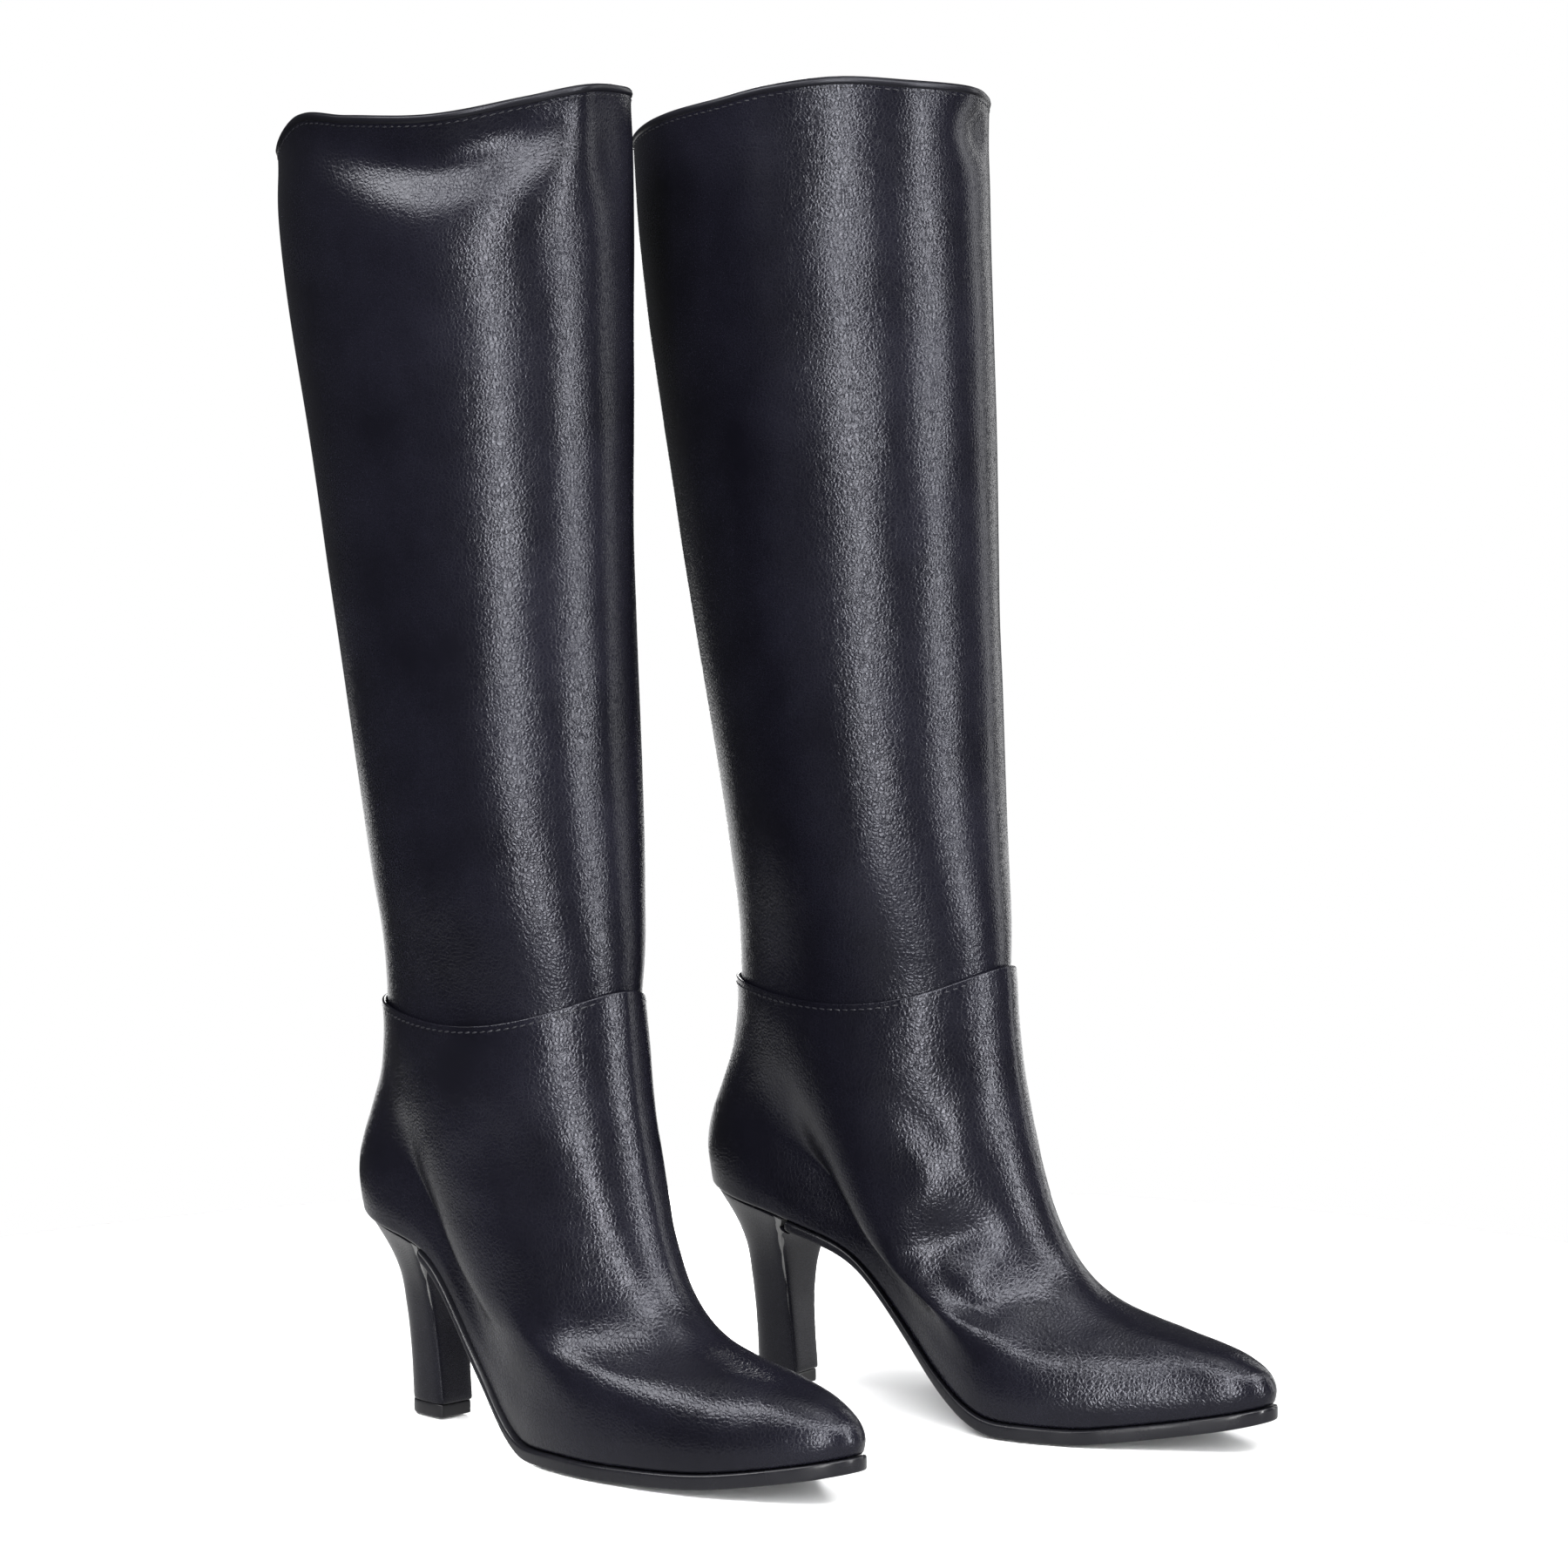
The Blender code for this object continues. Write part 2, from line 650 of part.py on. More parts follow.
def shaft(boot):
    """The outer and inner leather panels, the lining and the facing inside the top edge."""
    seam = PANEL_SEAM_ANGLE
    panels = {
        "shaft_medial_panel": around(13, seam, math.pi - seam, False),
        "shaft_lateral_panel": around(13, math.pi + seam, 2 * math.pi - seam, False),
    }
    for name, angles in panels.items():
        grid = shaft_surface(SHAFT_SHARES, angles)
        boot.shaft(shell(boot, name, grid, LEATHER, False, ANKLE_AXIS), "black leather")
    whole = shaft_surface(SHAFT_SHARES, around(24))
    below, top = whole[-2], whole[-1]
    lining_edge = below + (top - below) * FACING_START
    facing_edge = below + (top - below) * (FACING_START + FACING_GAP_SHARE)
    lining = np.concatenate([whole[:-1], lining_edge[None]])
    facing = np.stack([facing_edge, top])
    for name, grid in (("shaft_lining", lining), ("top_facing", facing)):
        grid = inset(grid, LEATHER + GAP)
        obj = shell(boot, name, grid, LINING, True, ANKLE_AXIS)
        boot.shaft(obj, "lining leather")


def build_boot(prefix, stance, collection, cutters):
    boot = Boot(prefix, stance, collection, cutters)
    foot_upper(boot)
    foot_lining(boot)
    stiffeners(boot)
    bottom_layers(boot)
    outsole(boot)
    heel(boot)
    fasteners(boot)
    shaft(boot)


def main():
    for obj in list(bpy.data.objects):
        bpy.data.objects.remove(obj, do_unlink=True)
    parts = bpy.data.collections.new("knee_high_boots")
    cutters = bpy.data.collections.new("cutters")
    for collection in (parts, cutters):
        bpy.context.scene.collection.children.link(collection)
    for prefix, stance in STANCE.items():
        build_boot(prefix, stance, parts, cutters)


main()
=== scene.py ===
# %% [markdown]
# # A pair of knee-high black leather boots
# Each boot is a set of thin leather skins pulled over a last: a foot piece, a tall shaft that is
# lapped into it at the ankle, a rubber sole and a slim covered heel. The hard and hidden parts
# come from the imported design, which also says what moves. This lesson makes the parts that the
# eye meets, with their seams, stitches, folds and leather grain, and rides them on the same
# moving bodies.

import json
import math

import bmesh
import bpy
import numpy as np
from mathutils import Matrix, Vector, noise


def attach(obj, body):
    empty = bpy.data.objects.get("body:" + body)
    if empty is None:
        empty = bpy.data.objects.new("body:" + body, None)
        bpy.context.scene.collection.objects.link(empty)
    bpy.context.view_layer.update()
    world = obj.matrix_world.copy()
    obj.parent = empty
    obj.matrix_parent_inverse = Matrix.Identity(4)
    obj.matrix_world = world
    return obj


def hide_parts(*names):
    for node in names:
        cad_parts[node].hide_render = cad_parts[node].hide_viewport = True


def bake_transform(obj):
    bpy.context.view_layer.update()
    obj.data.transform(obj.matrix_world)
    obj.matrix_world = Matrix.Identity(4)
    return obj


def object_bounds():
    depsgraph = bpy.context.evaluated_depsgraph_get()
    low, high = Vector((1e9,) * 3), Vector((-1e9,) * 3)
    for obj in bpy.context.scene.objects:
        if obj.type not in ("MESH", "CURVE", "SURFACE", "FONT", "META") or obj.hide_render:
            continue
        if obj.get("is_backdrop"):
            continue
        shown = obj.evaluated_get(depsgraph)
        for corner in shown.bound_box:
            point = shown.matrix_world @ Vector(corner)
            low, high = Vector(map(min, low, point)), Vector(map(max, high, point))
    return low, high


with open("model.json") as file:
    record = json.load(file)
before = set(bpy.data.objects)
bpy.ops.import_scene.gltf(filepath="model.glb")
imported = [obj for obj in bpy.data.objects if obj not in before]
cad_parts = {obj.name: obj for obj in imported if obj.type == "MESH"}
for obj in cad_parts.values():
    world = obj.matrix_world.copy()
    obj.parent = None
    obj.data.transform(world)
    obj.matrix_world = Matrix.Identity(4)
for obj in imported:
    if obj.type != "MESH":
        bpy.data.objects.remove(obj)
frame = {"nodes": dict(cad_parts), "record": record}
CAD_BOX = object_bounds()

# %% [markdown]
# ## The last, in numbers
# A shoemaker starts from a last, the solid form of a foot. Here the last is a few measured
# curves: its outline seen from above, the line of its sole from the side, and the levels of the
# leather over it. All lengths are millimetres in the boot's own directions: x runs forward from
# the front edge of the heel tip, y towards the inner side of the leg and z up from the floor.
# Both boots share them.

# %% Measures of the last, the upper, the shaft and the heel
MM = 0.001
LAST_BACK, LAST_TIP = -38.5, 201.5
LAST_MIDDLE = (LAST_BACK + LAST_TIP) / 2
LAST_HALF = (LAST_TIP - LAST_BACK) / 2
OUTLINE_AT = (-39, -20, 0, 20, 40, 60, 80, 100, 120, 140, 160, 180, 204)
INNER_FULLNESS = (56, 46.6, 36.8, 28, 22, 23.8, 31, 36.8, 37.8, 35.1, 30.6, 27, 32)
OUTER_FULLNESS = (56, 46.6, 36.8, 29.8, 27, 30.3, 35, 37.6, 37.8, 37.4, 35.6, 32.6, 33)

# Levels of the foot piece, from the sole to the ankle seam: the front point's x and z, the back
# point's x and z, the width against the outline, and the share of round ankle in it.
FOOT_LEVELS = np.array(
    [
        (201.5, 16.0, -37.2, 76.8, 1.00, 0.00),
        (202.3, 22.0, -38.2, 84.0, 1.03, 0.00),
        (198.5, 28.3, -39.3, 91.0, 1.02, 0.00),
        (188.0, 34.0, -38.8, 98.0, 1.00, 0.03),
        (171.0, 38.2, -37.0, 105.0, 0.97, 0.10),
        (150.5, 41.8, -34.8, 111.0, 0.94, 0.22),
        (132.0, 47.3, -32.5, 117.5, 0.92, 0.38),
        (117.5, 59.0, -30.2, 124.0, 0.90, 0.55),
        (107.5, 76.0, -28.3, 131.0, 0.88, 0.72),
        (100.5, 96.0, -27.0, 139.0, 0.86, 0.86),
        (94.5, 119.0, -26.3, 146.5, 0.85, 0.95),
        (91.0, 142.0, -26.2, 152.0, 0.85, 1.00),
        (88.8, 166.0, -26.5, 156.0, 0.85, 1.00),
    ]
)
ANKLE_HALF_WIDTH = 36.0

# The shaft's sections: height, centre x, half-length and half-width. The lowest three follow the
# foot piece, which the shaft is tucked into.
SHAFT_SECTIONS = np.array(
    [
        (140, 31.3, 55.9, 34.2),
        (160, 31.2, 55.9, 34.3),
        (178, 30.8, 55.8, 37.0),
        (200, 28.5, 55.7, 41.0),
        (240, 23.9, 57.1, 44.8),
        (280, 19.0, 60.0, 46.7),
        (320, 14.3, 63.3, 48.2),
        (360, 10.0, 66.3, 50.1),
        (400, 5.8, 68.8, 51.5),
        (440, 2.7, 70.2, 52.5),
        (490, 0.8, 71.0, 53.2),
    ]
)

# The heel's sections: share of its height, back x, front x, half-width and roundness.
HEEL_SECTIONS = np.array(
    [
        (0.00, -20.2, 0.0, 7.8, 0.48),
        (0.25, -21.0, -1.5, 8.2, 0.48),
        (0.50, -22.8, -2.5, 9.6, 0.50),
        (0.70, -25.3, -2.0, 12.5, 0.56),
        (0.85, -30.0, 0.0, 17.5, 0.62),
        (0.94, -34.5, 3.0, 22.0, 0.70),
        (1.00, -37.2, 6.0, 25.8, 0.75),
    ]
)
# Thickness of the hides, how far the foot leather and the sole's lip stand over the sole's top, and
# how deep the shaft is tucked in below the ankle seam.
LEATHER, LINING = 1.4, 0.8
FEATHER_RISE, LIP_RISE = 1.1, 0.95
SEAM_TUCK = 9.0
LIFT_HEIGHT = 5.0
print("last length", LAST_TIP - LAST_BACK, "mm")

# %% Curves that read those measures


def smooth(start, end, at):
    """0 before start and 1 after end, with a soft rise between."""
    t = np.clip((at - start) / (end - start), 0.0, 1.0)
    return t * t * (3.0 - 2.0 * t)


def through(stations, values, at):
    """A soft curve through values at stations, read where asked."""
    xs, ys = np.asarray(stations, float), np.asarray(values, float)
    slopes = np.gradient(ys, xs)
    i = np.clip(np.searchsorted(xs, at, side="right") - 1, 0, len(xs) - 2)
    span = xs[i + 1] - xs[i]
    t = np.clip((at - xs[i]) / span, 0.0, 1.0)
    start = (1 + 2 * t) * (1 - t) ** 2 * ys[i] + t * (1 - t) ** 2 * span * slopes[i]
    end = t * t * (3 - 2 * t) * ys[i + 1] + t * t * (t - 1) * span * slopes[i + 1]
    return start + end


def outline(x, inner, grow=0.0):
    """Half-width of the last at x, on its inner or outer side, grown by a margin."""
    along = np.clip((x - LAST_MIDDLE) / (LAST_HALF + grow), -1.0, 1.0)
    at = LAST_MIDDLE + along * LAST_HALF
    fullness = np.where(
        inner, through(OUTLINE_AT, INNER_FULLNESS, at), through(OUTLINE_AT, OUTER_FULLNESS, at)
    )
    return (fullness + grow) * np.sqrt(1.0 - along**2)


def tread(x, y):
    """Height of the sole's underside: heel seat, arch, flat ball and toe spring."""
    slant = 0.5 * smooth(5, 40, x) * (1 - smooth(110, 160, x))
    u = x - slant * y
    seat = 67.4 - 0.19 * (u + 5.0)
    t = np.clip((u + 5.0) / 96.0, 0.0, 1.0)
    spring = np.clip((u - 128.0) / (LAST_TIP - 128.0), 0.0, None)
    return seat * (1 + np.cos(math.pi * t**1.2)) / 2 + 11.3 * spring**1.6


def sole_top(x, y):
    """Height of the face that the leather foot sits on. The sole thins in the arch."""
    return tread(x, y) + 2.6 + 2.0 * smooth(40, 95, x)


def seam_height(turn):
    """Height of the ankle seam: low at the sides, higher behind and highest in front."""
    c = np.cos(turn)
    return 152.0 + c**2 * (9.0 + 5.0 * c)


def top_height(turn):
    """Height of the shaft's top edge, which dips behind and rises on the inside of the leg."""
    return 482.0 - 15.0 * ((1 - np.cos(turn)) / 2) ** 3 + 6.5 * np.sin(turn)


print("ankle seam from", seam_height(math.pi / 2), "to", seam_height(0.0), "mm")

# %% [markdown]
# ## Pulling a skin up, ring by ring
# Leather over a last is one skin that changes shape all the way up. By hand in Blender that is a
# circle of edges, extruded again and again, each new ring set on the next section. A numbered
# point attribute rides through every extrusion, so each ring's points know their place round the
# boot. The result is all quads that follow the boot, which subdivide, bend and fold well. Lofting
# from curves would also do, but gives less say over where the rings crowd together for an edge.

# %% Rings to a skin


def on_bench(points):
    """The boot's millimetres to Blender's metres, with the toe towards -Y."""
    p = np.asarray(points, float)
    return np.stack([p[..., 1], -p[..., 0], p[..., 2]], axis=-1) * MM


def deselect():
    bpy.ops.object.select_all(action="DESELECT")


def work_on(piece):
    """Makes this the only selected piece, and the active one."""
    deselect()
    piece.select_set(True)
    bpy.context.view_layer.objects.active = piece


def pull_rings(name, rings, join=False, pinch=False):
    """Extrudes a circle of edges along rings of points. join closes the last ring on the first, and
    pinch merges the end rings' points where they meet in pairs on a line."""
    rings = on_bench(rings)
    middle = rings[0].mean(axis=0)
    deselect()
    bpy.ops.mesh.primitive_circle_add(
        vertices=rings.shape[1], radius=float(np.ptp(rings[0][:, 1])) / 2, location=middle
    )
    piece = bpy.context.object
    piece.name = piece.data.name = name
    bpy.ops.object.transform_apply(location=True, rotation=False, scale=False)
    place = piece.data.attributes.new("place", "INT", "POINT")
    place.data.foreach_set("value", np.arange(rings.shape[1], dtype=np.int32))
    bpy.ops.object.mode_set(mode="EDIT")
    bpy.ops.mesh.select_all(action="SELECT")
    for number, ring in enumerate(rings):
        if number:
            bpy.ops.mesh.extrude_region_move()
        edit = bmesh.from_edit_mesh(piece.data)
        layer = edit.verts.layers.int["place"]
        for point in edit.verts:
            if point.select:
                point.co = ring[point[layer]]
        bmesh.update_edit_mesh(piece.data)
    if join:
        bpy.ops.mesh.select_all(action="DESELECT")
        bpy.ops.mesh.select_non_manifold()
        bpy.ops.mesh.bridge_edge_loops()
    if pinch:
        bpy.ops.mesh.select_all(action="SELECT")
        bpy.ops.mesh.remove_doubles(threshold=0.02 * MM)
    bpy.ops.mesh.select_all(action="SELECT")
    bpy.ops.mesh.normals_make_consistent(inside=False)
    bpy.ops.object.mode_set(mode="OBJECT")
    return piece


def apply(piece, kind, **settings):
    """Adds a modifier, sets it and applies it."""
    work_on(piece)
    modifier = piece.modifiers.new(kind.lower(), kind)
    for setting, value in settings.items():
        setattr(modifier, setting, value)
    bpy.ops.object.modifier_apply(modifier=modifier.name)


def finer(piece, levels=1):
    apply(piece, "SUBSURF", levels=levels, render_levels=levels)


def thicken(piece, wall):
    """Gives a skin its wall, inwards from its outer face, in millimetres."""
    apply(piece, "SOLIDIFY", thickness=wall * MM, offset=-1.0, use_even_offset=False)


def round_edges(piece, width, sharper_than=50, steps=2):
    """Rounds the cut edges of a piece, in millimetres."""
    work_on(piece)
    bpy.ops.object.mode_set(mode="EDIT")
    bpy.ops.mesh.select_mode(type="EDGE")
    bpy.ops.mesh.select_all(action="DESELECT")
    bpy.ops.mesh.edges_select_sharp(sharpness=math.radians(sharper_than))
    bpy.ops.mesh.bevel(offset=width * MM, segments=steps, affect="EDGES")
    bpy.ops.mesh.select_mode(type="VERT")
    bpy.ops.object.mode_set(mode="OBJECT")


def shade(piece, sharper_than):
    """Shades a piece smooth, but for edges that turn by more than this many degrees."""
    work_on(piece)
    bpy.ops.object.shade_smooth_by_angle(angle=math.radians(sharper_than))


def faces_of(piece):
    return len(piece.data.polygons)


# %% [markdown]
# ## Two boots from one pattern
# The left boot is the right one turned over: cut from the same patterns, then folded and worn in
# its own way. So each piece is made once on the bench, copied with its own mesh, given its own
# folds, and only then set down. A mirrored copy has its faces inside out, so they are
# recalculated.

# %% Where each boot stands
STANCE = {
    "right": {"flip": 1, "origin": (-0.0656, 0.0926, 0.0), "toe_out": 0.0},
    "left": {"flip": -1, "origin": (0.0632, 0.0384, 0.0), "toe_out": math.radians(9.0)},
}


def pair_of(pattern):
    """The pattern's right piece and an own-mesh copy of it for the left boot."""
    twin = pattern.copy()
    twin.data = pattern.data.copy()
    bpy.context.scene.collection.objects.link(twin)
    name = pattern.name
    for side, piece in (("right", pattern), ("left", twin)):
        piece.name = piece.data.name = f"{side}_{name}"
    return {"right": pattern, "left": twin}


def set_down(piece, side):
    """Stands a bench piece in its boot's place and applies the move to its mesh."""
    stance = STANCE[side]
    piece.location = stance["origin"]
    piece.rotation_euler = (0.0, 0.0, stance["toe_out"])
    piece.scale = (stance["flip"], 1.0, 1.0)
    work_on(piece)
    bpy.ops.object.transform_apply(location=True, rotation=True, scale=True)
    if stance["flip"] < 0:
        bpy.ops.object.mode_set(mode="EDIT")
        bpy.ops.mesh.select_all(action="SELECT")
        bpy.ops.mesh.normals_make_consistent(inside=False)
        bpy.ops.object.mode_set(mode="OBJECT")


def belongs(piece, side, part, finish, stands_for=()):
    """Rides a piece on its body, gives its finish, and hides the solids that it stands for."""
    piece.data.materials.clear()
    piece.data.materials.append(finish)
    if part == "ankle":
        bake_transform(piece)
    else:
        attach(piece, f"{side}_{part}")
    for node in stands_for:
        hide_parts(f"{side}_{node}")


def stand_pair(pair, part, finish, stands_for, sharper_than):
    """Smooths, sets down and finishes both copies of a piece that has no folds of its own."""
    for side, piece in pair.items():
        finer(piece)
        shade(piece, sharper_than)
        set_down(piece, side)
        belongs(piece, side, part, finish, (stands_for,))
        print(piece.name, faces_of(piece), "faces")


for side, stance in STANCE.items():
    toe_out = round(math.degrees(stance["toe_out"]))
    print(side, "boot's heel tip at", stance["origin"], "toe out", toe_out, "degrees")

# %% [markdown]
# ## Finishes
# Every finish is made of nodes on Object coordinates, so it needs no painted map and stays put on
# its piece. Leather is two things: a dyed and polished skin, near black with a cold tint, and its
# grain, small pebbled cells that run into fine wrinkles. The cells are a Voronoi pattern read
# through a slow noise that pulls them out of line, and a finer noise breaks up their tops. Both
# go to one bump, under a tenth of a millimetre deep, and a little to the roughness, because the
# pits hold less polish. The specular level is low: aniline black drinks most of the light that
# falls on it, and only the soft boxes come back off it.

# %% Small helpers for node trees


def new_finish(name, colour, roughness, **sockets):
    """A material with one principled shader, whose even values are set on its own sockets."""
    finish = bpy.data.materials.new(name)
    finish.use_nodes = True
    shader = finish.node_tree.nodes["Principled BSDF"]
    shader.inputs["Base Color"].default_value = (*colour, 1.0)
    shader.inputs["Roughness"].default_value = roughness
    for socket, value in sockets.items():
        shader.inputs[socket.replace("_", " ")].default_value = value
    return finish, finish.node_tree, shader


def node(tree, kind, **settings):
    made = tree.nodes.new("ShaderNode" + kind)
    for setting, value in settings.items():
        if setting in made.inputs:
            made.inputs[setting].default_value = value
        else:
            setattr(made, setting.lower(), value)
    return made


def millimetres(tree, turn=(0.0, 0.0, 0.0)):
    """Object coordinates counted in millimetres, so that pattern scales read as sizes."""
    where = node(tree, "TexCoord")
    mapping = node(tree, "Mapping")
    mapping.inputs["Scale"].default_value = (1000.0, 1000.0, 1000.0)
    mapping.inputs["Rotation"].default_value = turn
    tree.links.new(where.outputs["Object"], mapping.inputs["Vector"])
    return mapping.outputs["Vector"]


def noise_of(tree, vector, size, detail=2.0, roughness=0.5):
    """A noise whose lumps are about this many millimetres across."""
    made = node(tree, "TexNoise", Scale=1.0 / size, Detail=detail, Roughness=roughness)
    tree.links.new(vector, made.inputs["Vector"])
    return made


def mapped(tree, value, low, high, out_low, out_high):
    made = node(tree, "MapRange")
    tree.links.new(value, made.inputs["Value"])
    made.inputs["From Min"].default_value = low
    made.inputs["From Max"].default_value = high
    made.inputs["To Min"].default_value = out_low
    made.inputs["To Max"].default_value = out_high
    return made.outputs["Result"]


def reckon(tree, operation, a, b):
    """One sum on two values, each a socket or a number."""
    made = node(tree, "Math", operation=operation)
    for socket, value in zip(made.inputs, (a, b)):
        if isinstance(value, (int, float)):
            socket.default_value = value
        else:
            tree.links.new(value, socket)
    return made.outputs["Value"]


def two_tones(tree, shader, factor, dark, light):
    """Colours the shader between two tones, by a factor from 0 to 1."""
    made = node(tree, "ValToRGB")
    made.color_ramp.elements[0].color = (*dark, 1.0)
    made.color_ramp.elements[1].color = (*light, 1.0)
    tree.links.new(factor, made.inputs["Fac"])
    tree.links.new(made.outputs["Color"], shader.inputs["Base Color"])


def shade_of(tone, share):
    return tuple(share * c for c in tone)


def raised(tree, shader, height, depth):
    """Sends a height from 0 to 1 to the shader as a bump this many millimetres deep."""
    made = node(tree, "Bump", Strength=1.0, Distance=depth * MM)
    tree.links.new(height, made.inputs["Height"])
    tree.links.new(made.outputs["Normal"], shader.inputs["Normal"])


# %% Black leather, with a seam line where a piece has one


def leather(name, cell, depth, tone, shine, seam=False):
    """Grained leather with cells of this size and depth, both in millimetres."""
    finish, tree, shader = new_finish(name, tone, shine, Specular_IOR_Level=0.21)
    shader.inputs["Specular Tint"].default_value = (0.90, 0.91, 1.0, 1.0)
    place = millimetres(tree)
    pull = noise_of(tree, place, cell * 3.2, detail=3.0)
    shift = node(tree, "VectorMath", operation="MULTIPLY_ADD")
    tree.links.new(pull.outputs["Color"], shift.inputs[0])
    shift.inputs[1].default_value = (cell * 1.6,) * 3
    tree.links.new(place, shift.inputs[2])
    cells = node(tree, "TexVoronoi", feature="DISTANCE_TO_EDGE", Scale=1.0 / cell)
    tree.links.new(shift.outputs["Vector"], cells.inputs["Vector"])
    domes = mapped(tree, cells.outputs["Distance"], 0.0, 0.30, 0.0, 1.0)
    fine = noise_of(tree, place, cell * 0.42, detail=2.0).outputs["Fac"]
    long_folds = noise_of(tree, place, cell * 2.2, detail=2.0, roughness=0.6).outputs["Fac"]
    height = reckon(tree, "ADD", domes, reckon(tree, "MULTIPLY", fine, 0.5))
    height = reckon(tree, "ADD", height, reckon(tree, "MULTIPLY", long_folds, 0.9))
    if seam:
        line = node(tree, "Attribute", attribute_name="seam_away")
        groove = mapped(tree, line.outputs["Fac"], 0.15, 0.75, -4.0, 0.0)
        height = reckon(tree, "ADD", height, groove)
    raised(tree, shader, height, depth)
    worn = noise_of(tree, place, 34.0, detail=4.0).outputs["Fac"]
    patches = mapped(tree, worn, 0.3, 0.7, 0.0, 1.0)
    two_tones(tree, shader, patches, shade_of(tone, 0.72), shade_of(tone, 1.35))
    polish = reckon(tree, "MULTIPLY", worn, 0.10)
    pits = mapped(tree, domes, 0.0, 1.0, 0.06, -0.02)
    dullness = reckon(tree, "ADD", reckon(tree, "ADD", polish, pits), shine - 0.05)
    tree.links.new(dullness, shader.inputs["Roughness"])
    return finish


SHAFT_BLACK, FOOT_BLACK = (0.0031, 0.0030, 0.0051), (0.0031, 0.0030, 0.0050)
HEEL_BLACK, EDGE_BLACK = (0.0032, 0.0031, 0.0048), (0.0036, 0.0035, 0.0050)
shaft_leather = leather("black_shaft_leather", 1.45, 0.050, SHAFT_BLACK, 0.23, seam=True)
foot_leather = leather("black_foot_leather", 1.60, 0.052, FOOT_BLACK, 0.22, seam=True)
heel_leather = leather("black_heel_leather", 0.80, 0.010, HEEL_BLACK, 0.26)
edge_leather = leather("black_edge_leather", 0.70, 0.012, EDGE_BLACK, 0.32)
print("leathers:", shaft_leather.name, foot_leather.name, heel_leather.name, edge_leather.name)

# %% [markdown]
# ## Linings, rubber, thread and the hidden parts
# The lining is undyed pigskin, pale grey with scattered pores. The sole is moulded rubber, glossy
# on its edge and dull underneath. Thread is twisted, so it gets fine slanting ridges, and painted
# shade darkens its colour in the grooves between them. The parts inside the boot are seldom seen,
# yet each still has a finish of its own: fibre board, cork, plastic, steel.

# %% Finishes of the other materials


def lining_finish(name, tone, pores):
    finish, tree, shader = new_finish(name, tone, 0.62, Sheen_Weight=0.15, Sheen_Roughness=0.5)
    place = millimetres(tree)
    dots = node(tree, "TexVoronoi", feature="F1", Scale=1.0 / pores)
    tree.links.new(place, dots.inputs["Vector"])
    holes = mapped(tree, dots.outputs["Distance"], 0.05, 0.28, 0.0, 1.0)
    creases = noise_of(tree, place, 1.6, detail=4.0).outputs["Fac"]
    raised(tree, shader, reckon(tree, "ADD", holes, creases), 0.06)
    stain = noise_of(tree, place, 28.0, detail=3.0).outputs["Fac"]
    patches = mapped(tree, stain, 0.35, 0.65, 0.0, 1.0)
    two_tones(tree, shader, patches, shade_of(tone, 0.82), tone)
    return finish


def rubber_finish(name, tone, roughness, grain, depth):
    finish, tree, shader = new_finish(name, tone, roughness, Specular_IOR_Level=0.22)
    place = millimetres(tree)
    speck = noise_of(tree, place, grain, detail=3.0).outputs["Fac"]
    raised(tree, shader, speck, depth)
    rub = noise_of(tree, place, 14.0, detail=3.0).outputs["Fac"]
    dullness = mapped(tree, rub, 0.3, 0.7, roughness - 0.06, roughness + 0.09)
    tree.links.new(dullness, shader.inputs["Roughness"])
    two_tones(tree, shader, rub, tone, shade_of(tone, 1.6))
    return finish


def thread_finish(name, tone):
    finish, tree, shader = new_finish(name, tone, 0.36, Specular_IOR_Level=0.28)
    place = millimetres(tree, turn=(0.6, 0.6, 0.0))
    twist = node(tree, "TexWave", wave_type="BANDS", Scale=0.9, Distortion=0.6)
    tree.links.new(place, twist.inputs["Vector"])
    raised(tree, shader, twist.outputs["Fac"], 0.05)
    # Painted shade: the bands that raise the ridges also darken the thread's colour in the grooves
    # between them.
    two_tones(tree, shader, twist.outputs["Fac"], shade_of(tone, 0.6), tone)
    return finish


def board_finish(name, dark, light, size, depth, roughness=0.85, metallic=0.0):
    finish, tree, shader = new_finish(name, light, roughness, Metallic=metallic)
    place = millimetres(tree)
    flecks = noise_of(tree, place, size, detail=5.0, roughness=0.65).outputs["Fac"]
    two_tones(tree, shader, mapped(tree, flecks, 0.35, 0.65, 0.0, 1.0), dark, light)
    raised(tree, shader, flecks, depth)
    dullness = mapped(tree, flecks, 0.3, 0.7, roughness - 0.08, roughness + 0.08)
    tree.links.new(dullness, shader.inputs["Roughness"])
    return finish


lining_leather = lining_finish("pale_grey_lining", (0.46, 0.44, 0.43), 1.9)
sock_leather = lining_finish("pale_grey_sock", (0.43, 0.41, 0.40), 2.1)
sole_rubber = rubber_finish("glossy_sole_edge", (0.0040, 0.0040, 0.0052), 0.26, 0.9, 0.02)
tread_rubber = rubber_finish("dull_tread_rubber", (0.010, 0.010, 0.011), 0.50, 0.5, 0.06)
lift_rubber = rubber_finish("top_lift_rubber", (0.0055, 0.0055, 0.0064), 0.34, 0.6, 0.03)
black_thread = thread_finish("black_thread", (0.0130, 0.0130, 0.0170))
fibre = board_finish("fibre_board", (0.30, 0.25, 0.18), (0.46, 0.40, 0.30), 1.8, 0.08)
cork = board_finish("pressed_cork", (0.20, 0.12, 0.06), (0.46, 0.31, 0.18), 2.4, 0.20)
plastic = board_finish(
    "moulded_heel_plastic", (0.05, 0.05, 0.05), (0.08, 0.08, 0.08), 6.0, 0.02, roughness=0.45
)
steel = board_finish(
    "spring_steel", (0.42, 0.42, 0.44), (0.60, 0.60, 0.61), 0.9, 0.01, roughness=0.34, metallic=1.0
)
